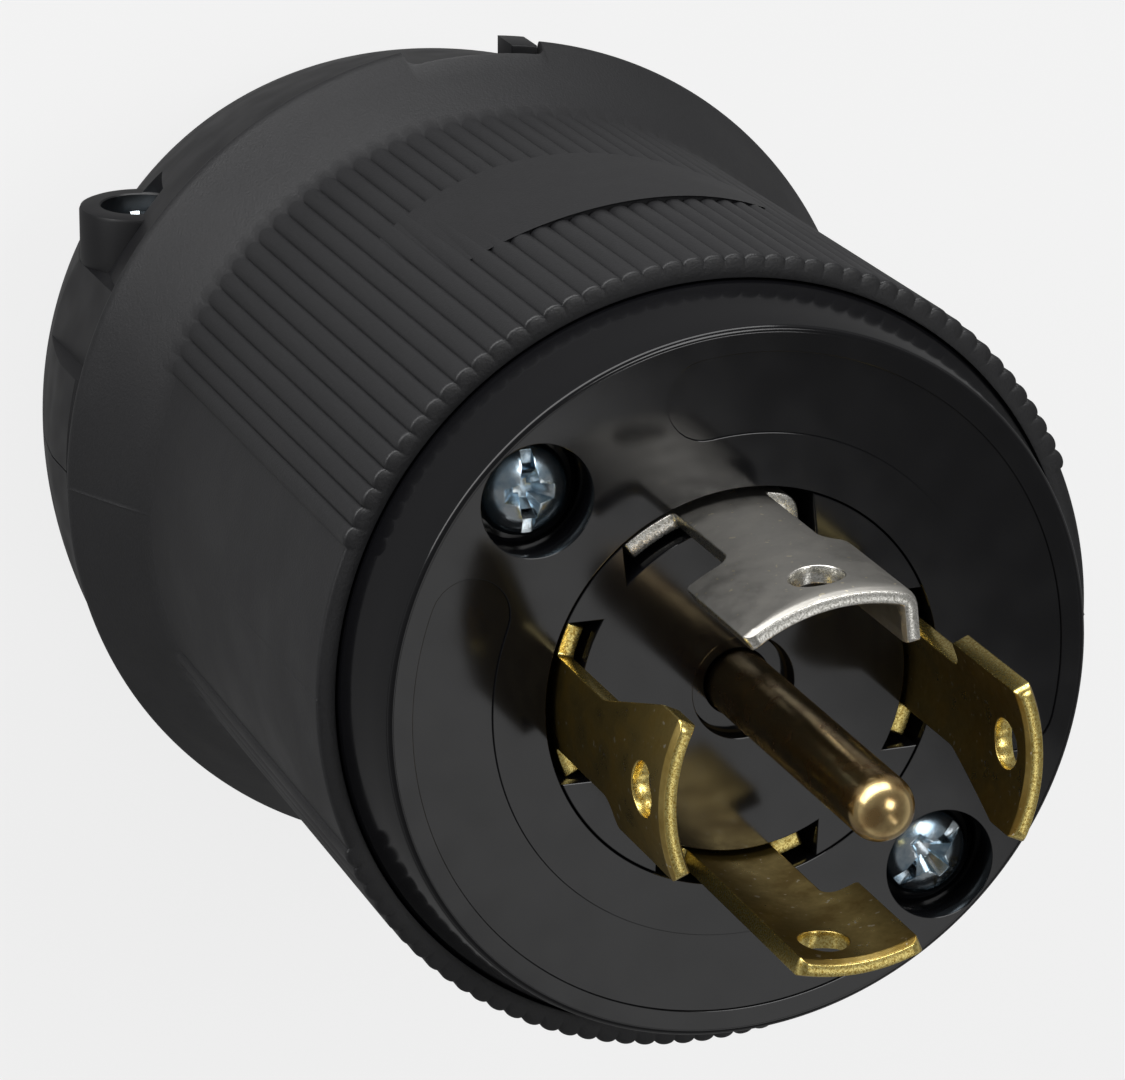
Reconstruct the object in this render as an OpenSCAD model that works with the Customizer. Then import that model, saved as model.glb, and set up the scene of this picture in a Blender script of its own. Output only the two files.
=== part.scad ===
// Five-wire twist-lock plug: four curved blades round a ground pin, a ribbed
// grip sleeve and a two-piece cord clamp. It stands on its cord end, blades up,
// with the origin on its axis at the rear end. Millimetres.

/* [Heights along the axis] */
// Rear end to the blade face
face_z = 88; // [86:0.5:92]
// Rear end to the front rim of the grip sleeve
rim_z = 81.5; // [80.5:0.5:82]
// Blade tips above the face
blade_reach = 20.5; // [18:0.5:22]
// Ground pin tip above the face
pin_reach = 26.9; // [24:0.1:28]

/* [Contact carrier] */
// Diameter of the face at its rim
face_d = 52.6; // [51.5:0.1:53]
// Diameter of the carrier where it enters the sleeve
carrier_d = 55.6; // [55:0.1:55.8]
// Depth of the two shallow panels on the face
panel_depth = 0.3; // [0.2:0.05:0.4]
// Distance of the assembly screws from the axis
screw_circle_r = 21.7; // [21.5:0.1:21.8]

/* [Blades] */
// Inner radius of the curved blades
blade_r_in = 12.65; // [12.6:0.05:12.7]
// Thickness of the blade sheet
blade_t = 1.3; // [1.2:0.05:1.35]
// Half the width of a blade's stem
stem_half = 3.25; // [3:0.05:3.4]
// Height above the face at which the locking hook starts
hook_z = 9.5; // [9:0.1:10]
// Diameter of the hole in each blade
blade_hole_d = 3.7; // [3.4:0.1:3.9]
// Diameter of the ground pin
pin_d = 4.75; // [4.7:0.05:4.8]

/* [Grip sleeve] */
// Outer diameter over the ribs at the front rim
grip_front_d = 59.3; // [58.9:0.1:59.5]
// Outer diameter over the ribs at the waist
grip_waist_d = 58.1; // [57.8:0.1:58.4]
// Diameter of the rear flange
flange_d = 65.7; // [65:0.1:66.2]
// Angle from one rib to the next
rib_pitch = 3; // [3:1:3]
// Height of a rib above the barrel
rib_h = 0.6; // [0.5:0.05:0.7]

/* [Cord clamp] */
// Distance of each clamp screw from the axis
clamp_screw_y = 22.5; // [22.3:0.1:22.7]
// Height of the clamp screws above the rear end
clamp_screw_z = 15; // [14.5:0.5:15.5]
// Diameter of the cord opening between the jaws
cord_d = 22; // [20:0.5:23]
// Gap between the two clamp halves
split_gap = 0.12; // [0.08:0.02:0.3]

/* [Hidden] */
$fn = 96;
eps = 0.01;

// Directions of the contacts round the axis; the clamp screws run along X
angle_neutral = 6.5;
angle_x = 89.5;
angle_y = 177.5;
angle_z = 270.5;
angle_ground = 133.5;
screw_angle = 45;

// Blades
blade_r_out = blade_r_in + blade_t;
blade_r_mid = (blade_r_in + blade_r_out) / 2;
blade_tip_z = face_z + blade_reach;
shoulder_drop = 1.2;            // shoulder tops below the face
shoulder_half = 5.5;
ear_half = 6.9;                 // ears that hold the blade under the carrier
head_lead = 5.3;                // hook side
head_trail = 5.7;               // ramp side
ramp_top_z = 17;
neutral_lead = 6.5;
neutral_trail = 5.75;           // outer face of the bent leg
neutral_leg_x = 9.2;            // where the bent leg ends
neutral_shoulder = 7;
neutral_ear = 8;
tip_bevel = 0.35;
tip_bevel_h = 0.9;
blade_hole_z = 16.7;
notch_fillet = 1.2;
corner_cut = 0.9;
tail_half = 3.4;
tail_end_z = 50;

// Carrier and terminal block
carrier_back_z = 70;
ear_top_z = 76;
slot_play = 0.35;
slot_r_in = 12.25;
slot_r_out = 14.35;
slot_half = 6.15;
neutral_slot_lead = 7.4;
neutral_slot_trail = 6.6;
neutral_slot_leg_x = 8.7;
hub_groove_r = 14.6;
panel_r_in = 18.6;
panel_r_out = 24.4;
head_recess_r = 4.25;
head_recess_depth = 4;
pin_recess_r = 3.8;
pin_recess_depth = 1.3;
key_half_angle = 10;
block_r = 24.8;
block_back_z = 45;
block_front_z = carrier_back_z - 0.1;
bay_ceiling_z = 66;
bay_half = 4.6;
bay_inner_x = 12.1;

// Ground pin and strap
pin_neck_d = 4.35;              // where the pin passes the carrier
pin_collar_r = 4;
pin_tail_r = 2;
pin_tail_play = 0.15;
strap_t = 1.3;
strap_top_z = 64;
strap_x = 13.9;                 // outer face of the strap's hanging leg

// Terminals
terminal_z = 56;
terminal_screw_r = 1.75;
terminal_head_r = 3.3;
plate_x = 19.8;
plate_t = 1.4;

// Grip sleeve
sleeve_bore_r = carrier_d / 2 + 0.15;
sleeve_inner_r = 25.3;
waist_z = 38.2;
flange_z = 29.7;
sleeve_back_z = 29.3;
groove_r = 28.2;
groove_low_z = 31.5;
groove_high_z = 34.5;
sleeve_mouth_r = 26.1;
barrel_drop = 0.1;              // smooth barrel below the rib crests' taper
rib_half_count = 22;
boss_top_z = 44.8;
boss_low_z = 35.5;
insert_r = 3.2;
insert_len = 7;
screw_shank_r = 2.05;
pad_z = 59.4;                   // smooth pad that interrupts the ribs
pad_half_h = 7.1;
pad_edge_r = 36;
pad_shift = 6;
pad_end_y = 15.7;
pad_crown_r = 25.7;             // crown struck from a centre nearer the pad
pad_crown_x = 4;
window_half = 5.4;              // keyed notch in the flange's rear edge
window_top_z = 31.25;
window_corner_r = 0.8;

// Cord clamp
dome_top_z = 29;
dome_top_r = 30.2;
dome_arc_r = 68;                // flank of the dome, struck from the height of its top
dome_corner_r = 7;              // round into the rear end
dome_limit_r = 31.7;
corner_steps = 5;
flank_steps = 4;
cheek_rise = 1.95;              // thicker cheeks at the ends of the clamp screws
cheek_top_z = 25.5;
cheek_half_a = 7.4;             // width of the cheek on the screw-head half
cheek_half_b = 12.5;            // and on the nut half
flank_y = 29.3;                 // slanted flank from the cheek to the screw boss
flank_end_x = 13.6;
boss_r = 4.75;
boss_end_a = 18.1;
boss_end_b = 14.6;
clamp_head_r = 2.85;
clamp_head_h = 2.3;
clamp_head_seat_x = 15;
clamp_shank_r = 2;
nut_across = 7;
nut_h = 2.8;
nut_seat_x = 11.5;
lug_y = [-5.4, -3.1];           // key lug that fills one side of the sleeve's notch
lug_low_z = 27;
lug_top_z = 30.3;
lug_r = 32.6;
chamber_r = 21;
neck_r = 25.8;
bead_r = 27.9;
bead_low_z = 31.7;
bead_high_z = 34.2;
seal_groove_r = 23.6;
seal_r = 23.4;
seal_low_z = 24.5;
seal_high_z = 26.5;
seal_hole_r = 10.3;

// ---- shared shapes -------------------------------------------------------

// Extrudes a flat outline (across, up) outwards from the axis along +X
module outwards(from_x, to_x) {
    translate([from_x, 0, 0]) rotate([90, 0, 90]) linear_extrude(to_x - from_x) children();
}

module ring(r_in, r_out, low, high) {
    difference() {
        translate([0, 0, low]) cylinder(r = r_out, h = high - low);
        translate([0, 0, low - 1]) cylinder(r = r_in, h = high - low + 2);
    }
}

module block(x0, x1, y0, y1, z0, z1) {
    translate([x0, y0, z0]) cube([x1 - x0, y1 - y0, z1 - z0]);
}

// Pan-head screw along +Z: its head's underside is at z = 0, the shank below
module pan_screw(head_r, head_h, shank_r, shank_len) {
    difference() {
        union() {
            cylinder(r = head_r, h = head_h * 0.45);
            translate([0, 0, head_h * 0.45])
                cylinder(r1 = head_r, r2 = head_r * 0.72, h = head_h * 0.55);
        }
        translate([-head_r * 0.95, -head_r * 0.12, head_h * 0.6])
            cube([head_r * 1.9, head_r * 0.24, head_h]);
        translate([-head_r * 0.12, -head_r * 0.5, head_h * 0.5])
            cube([head_r * 0.24, head_r, head_h]);
    }
    translate([0, 0, -shank_len]) cylinder(r = shank_r, h = shank_len + eps);
}

// ---- contacts ------------------------------------------------------------

// Sheet of the blades: a ring with both edges of its tip bevelled
module blade_sheet() {
    rotate_extrude() polygon([
        [blade_r_in, tail_end_z], [blade_r_out, tail_end_z],
        [blade_r_out, blade_tip_z - tip_bevel_h], [blade_r_out - tip_bevel, blade_tip_z],
        [blade_r_in + tip_bevel, blade_tip_z], [blade_r_in, blade_tip_z - tip_bevel_h]]);
}

// Outline of a blade as (across, height from the face); back_edge lists the
// trailing side from the tip down, flank the trailing side below the carrier
function blade_outline(lead, lead_shoulder, lead_ear, back_edge, flank) = concat(
    [[-tail_half, tail_end_z - face_z], [tail_half, tail_end_z - face_z],
     [tail_half, carrier_back_z + 0.2 - face_z], [lead_ear, carrier_back_z + 0.2 - face_z],
     [lead_ear, ear_top_z - 0.2 - face_z], [lead_shoulder, ear_top_z - 0.2 - face_z],
     [lead_shoulder, -shoulder_drop], [stem_half, -shoulder_drop],
     [stem_half, hook_z - notch_fillet], [stem_half + notch_fillet, hook_z], [lead, hook_z],
     [lead, blade_reach - corner_cut], [lead - corner_cut, blade_reach]],
    back_edge,
    [[-stem_half, -shoulder_drop]],
    flank,
    [[-tail_half, carrier_back_z + 0.2 - face_z]]);

// Rounds the notch corners left as chamfers in the outline
module notch_rounding(side) {
    translate([side * (stem_half + notch_fillet), hook_z - notch_fillet])
        circle(r = notch_fillet - eps);
}

module blade_holes() {
    translate([0, 0, face_z + blade_hole_z]) rotate([0, 90, 0])
        cylinder(d = blade_hole_d, h = 3 * blade_r_out);
    translate([0, 0, terminal_z]) rotate([0, 90, 0])
        cylinder(r = terminal_screw_r + 0.05, h = 3 * blade_r_out);
}

// Line blade; ramp is true for a flared head, false for a plain trailing edge
module line_blade(angle, ramp) {
    trail = ramp ? head_trail : stem_half;
    back_edge = concat(
        [[-trail + corner_cut, blade_reach], [-trail, blade_reach - corner_cut]],
        ramp ? [[-trail, ramp_top_z], [-stem_half, hook_z - 1]] : []);
    flank = [
        [-shoulder_half, -shoulder_drop], [-shoulder_half, ear_top_z - 0.2 - face_z],
        [-ear_half, ear_top_z - 0.2 - face_z], [-ear_half, carrier_back_z + 0.2 - face_z]];
    color("goldenrod") rotate([0, 0, angle]) difference() {
        intersection() {
            blade_sheet();
            translate([0, 0, face_z]) outwards(0, 2 * blade_r_out) difference() {
                polygon(blade_outline(head_lead, shoulder_half, ear_half, back_edge, flank));
                notch_rounding(1);
            }
        }
        blade_holes();
    }
}

module blade_x() { line_blade(angle_x, true); }
module blade_y() { line_blade(angle_y, false); }
module blade_z() { line_blade(angle_z, true); }

// Bent leg of the neutral blade, over one range of heights
module neutral_leg(low, high) {
    block(neutral_leg_x, sqrt(pow(blade_r_out, 2) - pow(neutral_trail, 2)),
          -neutral_trail, -neutral_trail + blade_t, low, high);
}

module blade_neutral() {
    back_edge = [
        [-neutral_trail, blade_reach], [-neutral_trail, hook_z],
        [-stem_half - notch_fillet, hook_z], [-stem_half, hook_z - notch_fillet]];
    flank = [[-neutral_trail, -shoulder_drop], [-neutral_trail, carrier_back_z + 0.2 - face_z]];
    color("silver") rotate([0, 0, angle_neutral]) difference() {
        union() {
            intersection() {
                blade_sheet();
                translate([0, 0, face_z]) outwards(0, 2 * blade_r_out) difference() {
                    polygon(blade_outline(neutral_lead, neutral_shoulder, neutral_ear, back_edge, flank));
                    notch_rounding(1);
                    notch_rounding(-1);
                }
            }
            neutral_leg(face_z + hook_z, blade_tip_z - 0.4);
            neutral_leg(carrier_back_z + 0.2, face_z - shoulder_drop);
        }
        blade_holes();
    }
}

module ground_pin() {
    tip = face_z + pin_reach;
    color("tan") union() {
        translate([0, 0, tip - pin_d / 2]) sphere(d = pin_d);
        translate([0, 0, face_z]) cylinder(d = pin_d, h = pin_reach - pin_d / 2);
        // Neck inside the carrier, down to the collar that holds the pin
        translate([0, 0, carrier_back_z + 0.2]) cylinder(d = pin_neck_d, h = face_z - carrier_back_z - 0.1);
        translate([0, 0, carrier_back_z + 0.2]) cylinder(r = pin_collar_r, h = 5);
        translate([0, 0, strap_top_z - strap_t - 0.2])
            cylinder(r = pin_tail_r, h = carrier_back_z - strap_top_z + strap_t + 0.5);
        // Rivet head under the strap
        translate([0, 0, strap_top_z - strap_t - 1.2]) cylinder(r = pin_tail_r + 0.9, h = 1.1);
    }
}

module ground_strap() {
    color("darkkhaki") rotate([0, 0, angle_ground]) difference() {
        union() {
            block(-3.2, strap_x, -tail_half, tail_half, strap_top_z - strap_t, strap_top_z);
            block(strap_x - strap_t, strap_x, -tail_half, tail_half, tail_end_z, strap_top_z);
        }
        translate([0, 0, strap_top_z - 5]) cylinder(r = pin_tail_r + pin_tail_play, h = 10);
        translate([0, 0, terminal_z]) rotate([0, 90, 0])
            cylinder(r = terminal_screw_r + 0.05, h = 2 * strap_x);
    }
}

// ---- terminals -----------------------------------------------------------

module terminal_screw(angle) {
    color("lightgray") rotate([0, 0, angle]) translate([plate_x + plate_t + 0.05, 0, terminal_z])
        rotate([0, 90, 0]) rotate([0, 0, 90])
            pan_screw(terminal_head_r, 2.1, terminal_screw_r, plate_x + plate_t - 12.4);
}

module pressure_plate(angle) {
    color("gray") rotate([0, 0, angle]) difference() {
        union() {
            block(plate_x, plate_x + plate_t, -3.9, 3.9, terminal_z - 4, terminal_z + 4);
            // Teeth that bite the strands either side of the screw
            for (z = [-3, 2])
                block(plate_x - 0.4, plate_x + eps, -3.9, 3.9, terminal_z + z, terminal_z + z + 1);
        }
        translate([plate_x - 2, 0, terminal_z]) rotate([0, 90, 0])
            cylinder(r = terminal_screw_r + 0.2, h = 6);
    }
}

module terminal_screw_x() { terminal_screw(angle_x); }
module terminal_screw_y() { terminal_screw(angle_y); }
module terminal_screw_z() { terminal_screw(angle_z); }
module terminal_screw_neutral() { terminal_screw(angle_neutral); }
module terminal_screw_ground() { terminal_screw(angle_ground); }
module pressure_plate_x() { pressure_plate(angle_x); }
module pressure_plate_y() { pressure_plate(angle_y); }
module pressure_plate_z() { pressure_plate(angle_z); }
module pressure_plate_neutral() { pressure_plate(angle_neutral); }
module pressure_plate_ground() { pressure_plate(angle_ground); }

// ---- contact carrier -----------------------------------------------------

// Curved blade slot between two widths, from low to high
module blade_slot(angle, lead, trail, low, high) {
    rotate([0, 0, angle]) intersection() {
        ring(slot_r_in, slot_r_out, low, high);
        block(0, 2 * slot_r_out, -trail, lead, low - 1, high + 1);
    }
}

module carrier_slots() {
    for (angle = [angle_x, angle_y, angle_z]) {
        blade_slot(angle, slot_half, slot_half, carrier_back_z - 1, face_z + 1);
        blade_slot(angle, ear_half + slot_play, ear_half + slot_play, carrier_back_z - 1, ear_top_z);
    }
    blade_slot(angle_neutral, neutral_slot_lead, neutral_slot_trail, carrier_back_z - 1, face_z + 1);
    blade_slot(angle_neutral, neutral_ear + slot_play, neutral_slot_trail, carrier_back_z - 1, ear_top_z);
    rotate([0, 0, angle_neutral])
        block(neutral_slot_leg_x, slot_r_in + 0.6, -neutral_slot_trail,
              -neutral_trail + blade_t + slot_play, carrier_back_z - 1, face_z + 1);
}

// Shallow curved panel with round ends on the face
module face_panel(from, to) {
    mid = (panel_r_in + panel_r_out) / 2;
    half = (panel_r_out - panel_r_in) / 2;
    translate([0, 0, face_z - panel_depth]) {
        rotate([0, 0, from]) rotate_extrude(angle = to - from)
            translate([panel_r_in, 0]) square([2 * half, panel_depth + 1]);
        for (end = [from, to]) rotate([0, 0, end]) translate([mid, 0, 0])
            cylinder(r = half, h = panel_depth + 1);
    }
}

module contact_carrier() {
    lip = 0.5;
    color([0.06, 0.06, 0.07]) difference() {
        rotate_extrude() polygon([
            [0, carrier_back_z], [carrier_d / 2 - 0.5, carrier_back_z],
            [carrier_d / 2, carrier_back_z + 0.5],
            [carrier_d / 2, rim_z], [face_d / 2 + 0.35, face_z - 1.6],
            [face_d / 2 + 0.1, face_z - lip], [face_d / 2 - 0.3, face_z],
            [0, face_z]]);
        carrier_slots();
        face_panel(8, -102);
        face_panel(70, 202);
        // Parted circle round the blades
        translate([0, 0, face_z - 0.25])
            ring(hub_groove_r, hub_groove_r + 0.25, 0, 1);
        // Ground pin: recess, bore and collar pocket
        translate([0, 0, face_z - pin_recess_depth]) cylinder(r = pin_recess_r, h = 5);
        translate([0, 0, carrier_back_z - 1]) cylinder(d = pin_neck_d + 0.2, h = 30);
        translate([0, 0, carrier_back_z - 1]) cylinder(r = pin_collar_r + 0.2, h = 6.4);
        // Assembly screws
        for (side = [0, 180]) rotate([0, 0, screw_angle + side]) translate([screw_circle_r, 0, 0]) {
            translate([0, 0, carrier_back_z - 1]) cylinder(r = screw_shank_r + 0.15, h = 30);
            translate([0, 0, face_z - head_recess_depth]) cylinder(r = head_recess_r, h = 10);
        }
        // Key pocket in the tapered side
        rotate([0, 0, -key_half_angle]) rotate_extrude(angle = 2 * key_half_angle)
            translate([face_d / 2 + 0.3, rim_z - 0.5]) square([4, 2.2]);
    }
}

// ---- terminal block ------------------------------------------------------

module terminal_bay(angle) {
    rotate([0, 0, angle])
        block(bay_inner_x, 2 * block_r, -bay_half, bay_half, block_back_z - 1, bay_ceiling_z);
}

module terminal_block() {
    color("dimgray") difference() {
        translate([0, 0, block_back_z]) cylinder(r = block_r, h = block_front_z - block_back_z);
        for (angle = [angle_x, angle_y, angle_z, angle_neutral]) {
            terminal_bay(angle);
            blade_slot(angle, tail_half + 0.2, tail_half + 0.2, bay_ceiling_z - 1, block_front_z + 1);
        }
        terminal_bay(angle_ground);
        // Way from the pin's tail to the ground bay
        rotate([0, 0, angle_ground])
            block(-4, bay_inner_x + 1, -tail_half - 0.4, tail_half + 0.4, block_back_z - 1, bay_ceiling_z);
        translate([0, 0, block_back_z - 1]) cylinder(r = pin_tail_r + pin_tail_play, h = 40);
        for (side = [0, 180]) rotate([0, 0, screw_angle + side])
            translate([screw_circle_r, 0, block_back_z - 1]) cylinder(r = screw_shank_r + 0.15, h = 40);
    }
}

// ---- grip sleeve ---------------------------------------------------------

function grip_r(z) = (grip_waist_d + (grip_front_d - grip_waist_d) * (z - waist_z) / (rim_z - waist_z)) / 2;

// Outline of a star of ribs: four points for each rib
function rib_points(from, to) = [
    for (k = [from:to], p = [[-0.42, -1], [-0.2, 1], [0.2, 1], [0.42, -1]])
        let (a = (k + p[0]) * rib_pitch, r = grip_front_d / 2 + (p[1] > 0 ? 1 : -2))
        [r * cos(a), r * sin(a)]];

// Ribs on one side of the grip, tapered with the barrel
module grip_ribs() {
    rib_low = waist_z - 3;
    rib_top = rim_z - 0.6;
    intersection() {
        translate([0, 0, rib_low]) linear_extrude(rib_top - rib_low)
            polygon(concat([[0, 0]], rib_points(-rib_half_count, rib_half_count)));
        rotate_extrude() polygon([
            [27.9, rib_low], [grip_r(rib_low), rib_low],
            [grip_r(rib_top), rib_top], [27.9, rib_top]]);
    }
}

// Smooth crowned pad among the ribs: a blunt end at +Y, a tapered one at -Y
module grip_pad() {
    intersection() {
        translate([pad_crown_x, 0, pad_z - 10]) cylinder(r = pad_crown_r, h = 20);
        outwards(sleeve_bore_r - 2, 32) translate([0, pad_z]) intersection() {
            translate([pad_shift, pad_edge_r - pad_half_h]) circle(r = pad_edge_r);
            translate([pad_shift, pad_half_h - pad_edge_r]) circle(r = pad_edge_r);
            translate([pad_end_y - 40, -20]) square(40);
        }
    }
}

module grip_sleeve() {
    front_r = grip_r(rim_z) - rib_h - barrel_drop;
    waist_r = grip_r(waist_z) - rib_h - barrel_drop;
    color([0.13, 0.13, 0.14]) difference() {
        union() {
            rotate_extrude() polygon([
                [sleeve_bore_r, rim_z], [grip_front_d / 2 - 0.7, rim_z],
                [grip_front_d / 2 - 0.15, rim_z - 0.35], [grip_front_d / 2 - 0.15, rim_z - 0.8],
                [front_r, rim_z - 1.1], [waist_r, waist_z + 0.6], [waist_r + 0.4, waist_z - 0.6],
                [flange_d / 2 - 0.2, flange_z + 0.5], [flange_d / 2, flange_z],
                [flange_d / 2 - 0.2, sleeve_back_z], [sleeve_mouth_r, sleeve_back_z],
                [sleeve_mouth_r, groove_low_z], [groove_r, groove_low_z],
                [groove_r, groove_high_z], [sleeve_inner_r, groove_high_z + 1],
                [sleeve_inner_r, carrier_back_z - 0.2], [sleeve_bore_r, carrier_back_z - 0.2]]);
            grip_ribs();
            rotate([0, 0, 180]) grip_ribs();
            grip_pad();
            // Bosses behind the terminal block that take the threaded inserts
            for (side = [0, 180]) rotate([0, 0, screw_angle + side - 13]) rotate_extrude(angle = 26)
                translate([17.2, boss_low_z + 0.2]) square([sleeve_inner_r - 17, boss_top_z - boss_low_z - 0.2]);
        }
        for (side = [0, 180]) rotate([0, 0, screw_angle + side]) translate([screw_circle_r, 0, 0]) {
            translate([0, 0, boss_low_z]) cylinder(r = screw_shank_r + 0.15, h = 12);
            translate([0, 0, boss_top_z - insert_len]) cylinder(r = insert_r, h = insert_len + 1);
        }
        // Keyed notches in the rear edge of the flange
        for (side = [0, 180]) rotate([0, 0, side]) {
            block(24, 40, -window_half, window_half, sleeve_back_z - 1, window_top_z - window_corner_r);
            block(24, 40, window_corner_r - window_half, window_half - window_corner_r,
                  sleeve_back_z - 1, window_top_z);
            for (y = [-1, 1])
                translate([24, y * (window_half - window_corner_r), window_top_z - window_corner_r])
                    rotate([0, 90, 0]) cylinder(r = window_corner_r, h = 16);
        }
    }
}

// ---- cord clamp ----------------------------------------------------------

// Dome of revolution up to a height; rise makes it fatter. Its flank and the
// round into the rear end are stepped into short cones
module dome(rise, top) {
    arc_x = dome_top_r - dome_arc_r + rise;
    corner_x = arc_x + sqrt(pow(dome_arc_r - dome_corner_r, 2) - pow(dome_top_z - dome_corner_r, 2));
    // Angle below the horizontal at which the round meets the flank, and where the flank ends
    meet = atan2(dome_top_z - dome_corner_r, corner_x - arc_x);
    last = asin((dome_top_z - top) / dome_arc_r);
    rotate_extrude() polygon(concat(
        [[0, 0]],
        [for (i = [0:corner_steps]) let (a = 90 + (meet - 90) * i / corner_steps)
            [corner_x + dome_corner_r * cos(a), dome_corner_r * (1 - sin(a))]],
        [for (i = [1:flank_steps]) let (a = meet + (last - meet) * i / flank_steps)
            [arc_x + dome_arc_r * cos(a), dome_top_z - dome_arc_r * sin(a)]],
        [[0, top]]));
}

module clamp_bosses(r, end_x) {
    for (y = [-clamp_screw_y, clamp_screw_y])
        translate([0, y, clamp_screw_z]) rotate([0, 90, 0]) cylinder(r = r, h = end_x);
}

// Thick cheek at both ends of the screws, in plan as wide as half, then with a
// slanted flank out to the boss where flank is true
module cheek(half, flank) {
    side = flank ? [[half, flank_y], [flank_end_x, clamp_screw_y + boss_r], [flank_end_x, 0]] : [[half, 0]];
    intersection() {
        dome(cheek_rise, cheek_top_z);
        cylinder(r = dome_limit_r, h = cheek_top_z);
        for (flip = [0, 1]) mirror([0, flip, 0]) linear_extrude(cheek_top_z)
            polygon(concat([[-1, 0], [-1, 60], [half, 60]], side));
    }
}

// Solid on the +X side that both halves share, before the screw or nut seats
module clamp_body(boss_end_x, cheek_half, flank) {
    difference() {
        intersection() {
            union() {
                dome(0, dome_top_z);
                cheek(cheek_half, flank);
                clamp_bosses(boss_r, boss_end_x);
                ring(seal_groove_r - 1, neck_r, dome_top_z - 1, bead_high_z);
                ring(seal_groove_r - 1, bead_r, bead_low_z, bead_high_z);
                // Key lug that keeps the clamp from turning in the sleeve
                intersection() {
                    block(24, 40, lug_y[0] + 0.15, lug_y[1], lug_low_z, lug_top_z);
                    cylinder(r = lug_r, h = lug_top_z + 1);
                }
            }
            block(split_gap / 2, 60, -60, 60, -1, 60);
        }
        // Wiring chamber, left solid round the screws
        difference() {
            rotate_extrude() polygon([
                [0, 8], [cord_d / 2, 8], [chamber_r, 16], [chamber_r, 60], [0, 60]]);
            clamp_bosses(clamp_shank_r + 1.4, boss_end_x);
        }
        rotate_extrude() translate([0, seal_low_z - 0.1])
            square([seal_groove_r, seal_high_z - seal_low_z + 0.2]);
        // Cord opening with its flared mouth
        translate([0, 0, -1]) cylinder(d = cord_d, h = 20);
        translate([0, 0, -eps]) cylinder(r1 = cord_d / 2 + 2, r2 = cord_d / 2, h = 2);
        clamp_bosses(clamp_shank_r + 0.15, 40);
    }
    // Ridges that grip the cord
    for (z = [2.6, 4.8, 7]) intersection() {
        ring(cord_d / 2 - 0.9, cord_d / 2 + 0.5, z, z + 0.9);
        block(split_gap / 2 + 1.5, 60, -60, 60, 0, 10);
    }
}

module clamp_half_a() {
    color([0.1, 0.1, 0.11]) difference() {
        clamp_body(boss_end_a, cheek_half_a, true);
        translate([clamp_head_seat_x, 0, 0]) clamp_bosses(clamp_head_r + 0.2, 40);
    }
}

module clamp_half_b() {
    color([0.1, 0.1, 0.11]) rotate([0, 0, 180]) difference() {
        clamp_body(boss_end_b, cheek_half_b, false);
        for (y = [-clamp_screw_y, clamp_screw_y]) translate([nut_seat_x, y, clamp_screw_z])
            rotate([0, 90, 0]) cylinder(d = (nut_across + 0.3) / cos(30), h = 40, $fn = 6);
    }
}

module cord_seal() {
    color([0.2, 0.2, 0.2]) rotate_extrude() polygon([
        [seal_hole_r, seal_low_z - 2.5], [seal_hole_r + 1.2, seal_low_z - 2.5],
        [seal_hole_r + 3, seal_low_z], [seal_r, seal_low_z], [seal_r, seal_high_z],
        [seal_hole_r + 4, seal_high_z], [seal_hole_r, seal_high_z - 1.2]]);
}

module clamp_screw(y) {
    color("lightgray") translate([clamp_head_seat_x + 0.02, y, clamp_screw_z]) rotate([0, 90, 0])
        rotate([0, 0, 30]) pan_screw(clamp_head_r, clamp_head_h, clamp_shank_r, 29.4);
}

module clamp_nut(y) {
    color("silver") translate([-nut_seat_x - 0.02, y, clamp_screw_z]) rotate([0, -90, 0]) difference() {
        cylinder(d = nut_across / cos(30), h = nut_h, $fn = 6);
        translate([0, 0, -1]) cylinder(r = clamp_shank_r + 0.05, h = nut_h + 2);
    }
}

module clamp_screw_a() { clamp_screw(clamp_screw_y); }
module clamp_screw_b() { clamp_screw(-clamp_screw_y); }
module clamp_nut_a() { clamp_nut(clamp_screw_y); }
module clamp_nut_b() { clamp_nut(-clamp_screw_y); }

// ---- assembly screws -----------------------------------------------------

// Assembly screw on one side, with its slot along the direction slot_angle
module assembly_screw(side, slot_angle) {
    seat_z = face_z - head_recess_depth + 0.02;
    turn = screw_angle + side;
    color("lightgray") rotate([0, 0, turn]) translate([screw_circle_r, 0, seat_z])
        rotate([0, 0, slot_angle - turn])
            pan_screw(3.4, 2.6, screw_shank_r, seat_z - boss_top_z + insert_len - 1);
}

module assembly_insert(side) {
    color("goldenrod") rotate([0, 0, screw_angle + side])
        translate([screw_circle_r, 0, boss_top_z - insert_len + 0.02]) difference() {
            cylinder(r = insert_r - 0.02, h = insert_len - 0.04);
            translate([0, 0, -1]) cylinder(r = screw_shank_r + 0.05, h = insert_len + 2);
        }
}

module assembly_screw_a() { assembly_screw(0, 1); }
module assembly_screw_b() { assembly_screw(180, -50); }
module assembly_insert_a() { assembly_insert(0); }
module assembly_insert_b() { assembly_insert(180); }

contact_carrier();
terminal_block();
blade_x();
blade_y();
blade_z();
blade_neutral();
ground_pin();
ground_strap();
terminal_screw_x();
terminal_screw_y();
terminal_screw_z();
terminal_screw_neutral();
terminal_screw_ground();
pressure_plate_x();
pressure_plate_y();
pressure_plate_z();
pressure_plate_neutral();
pressure_plate_ground();
grip_sleeve();
clamp_half_a();
clamp_half_b();
cord_seal();
clamp_screw_a();
clamp_screw_b();
clamp_nut_a();
clamp_nut_b();
assembly_screw_a();
assembly_screw_b();
assembly_insert_a();
assembly_insert_b();
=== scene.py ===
import logging
import math
from dataclasses import dataclass
from enum import Enum
from typing import Callable, Sequence

import bmesh
import bpy
import numpy as np
from mathutils import Matrix, Vector


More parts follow.
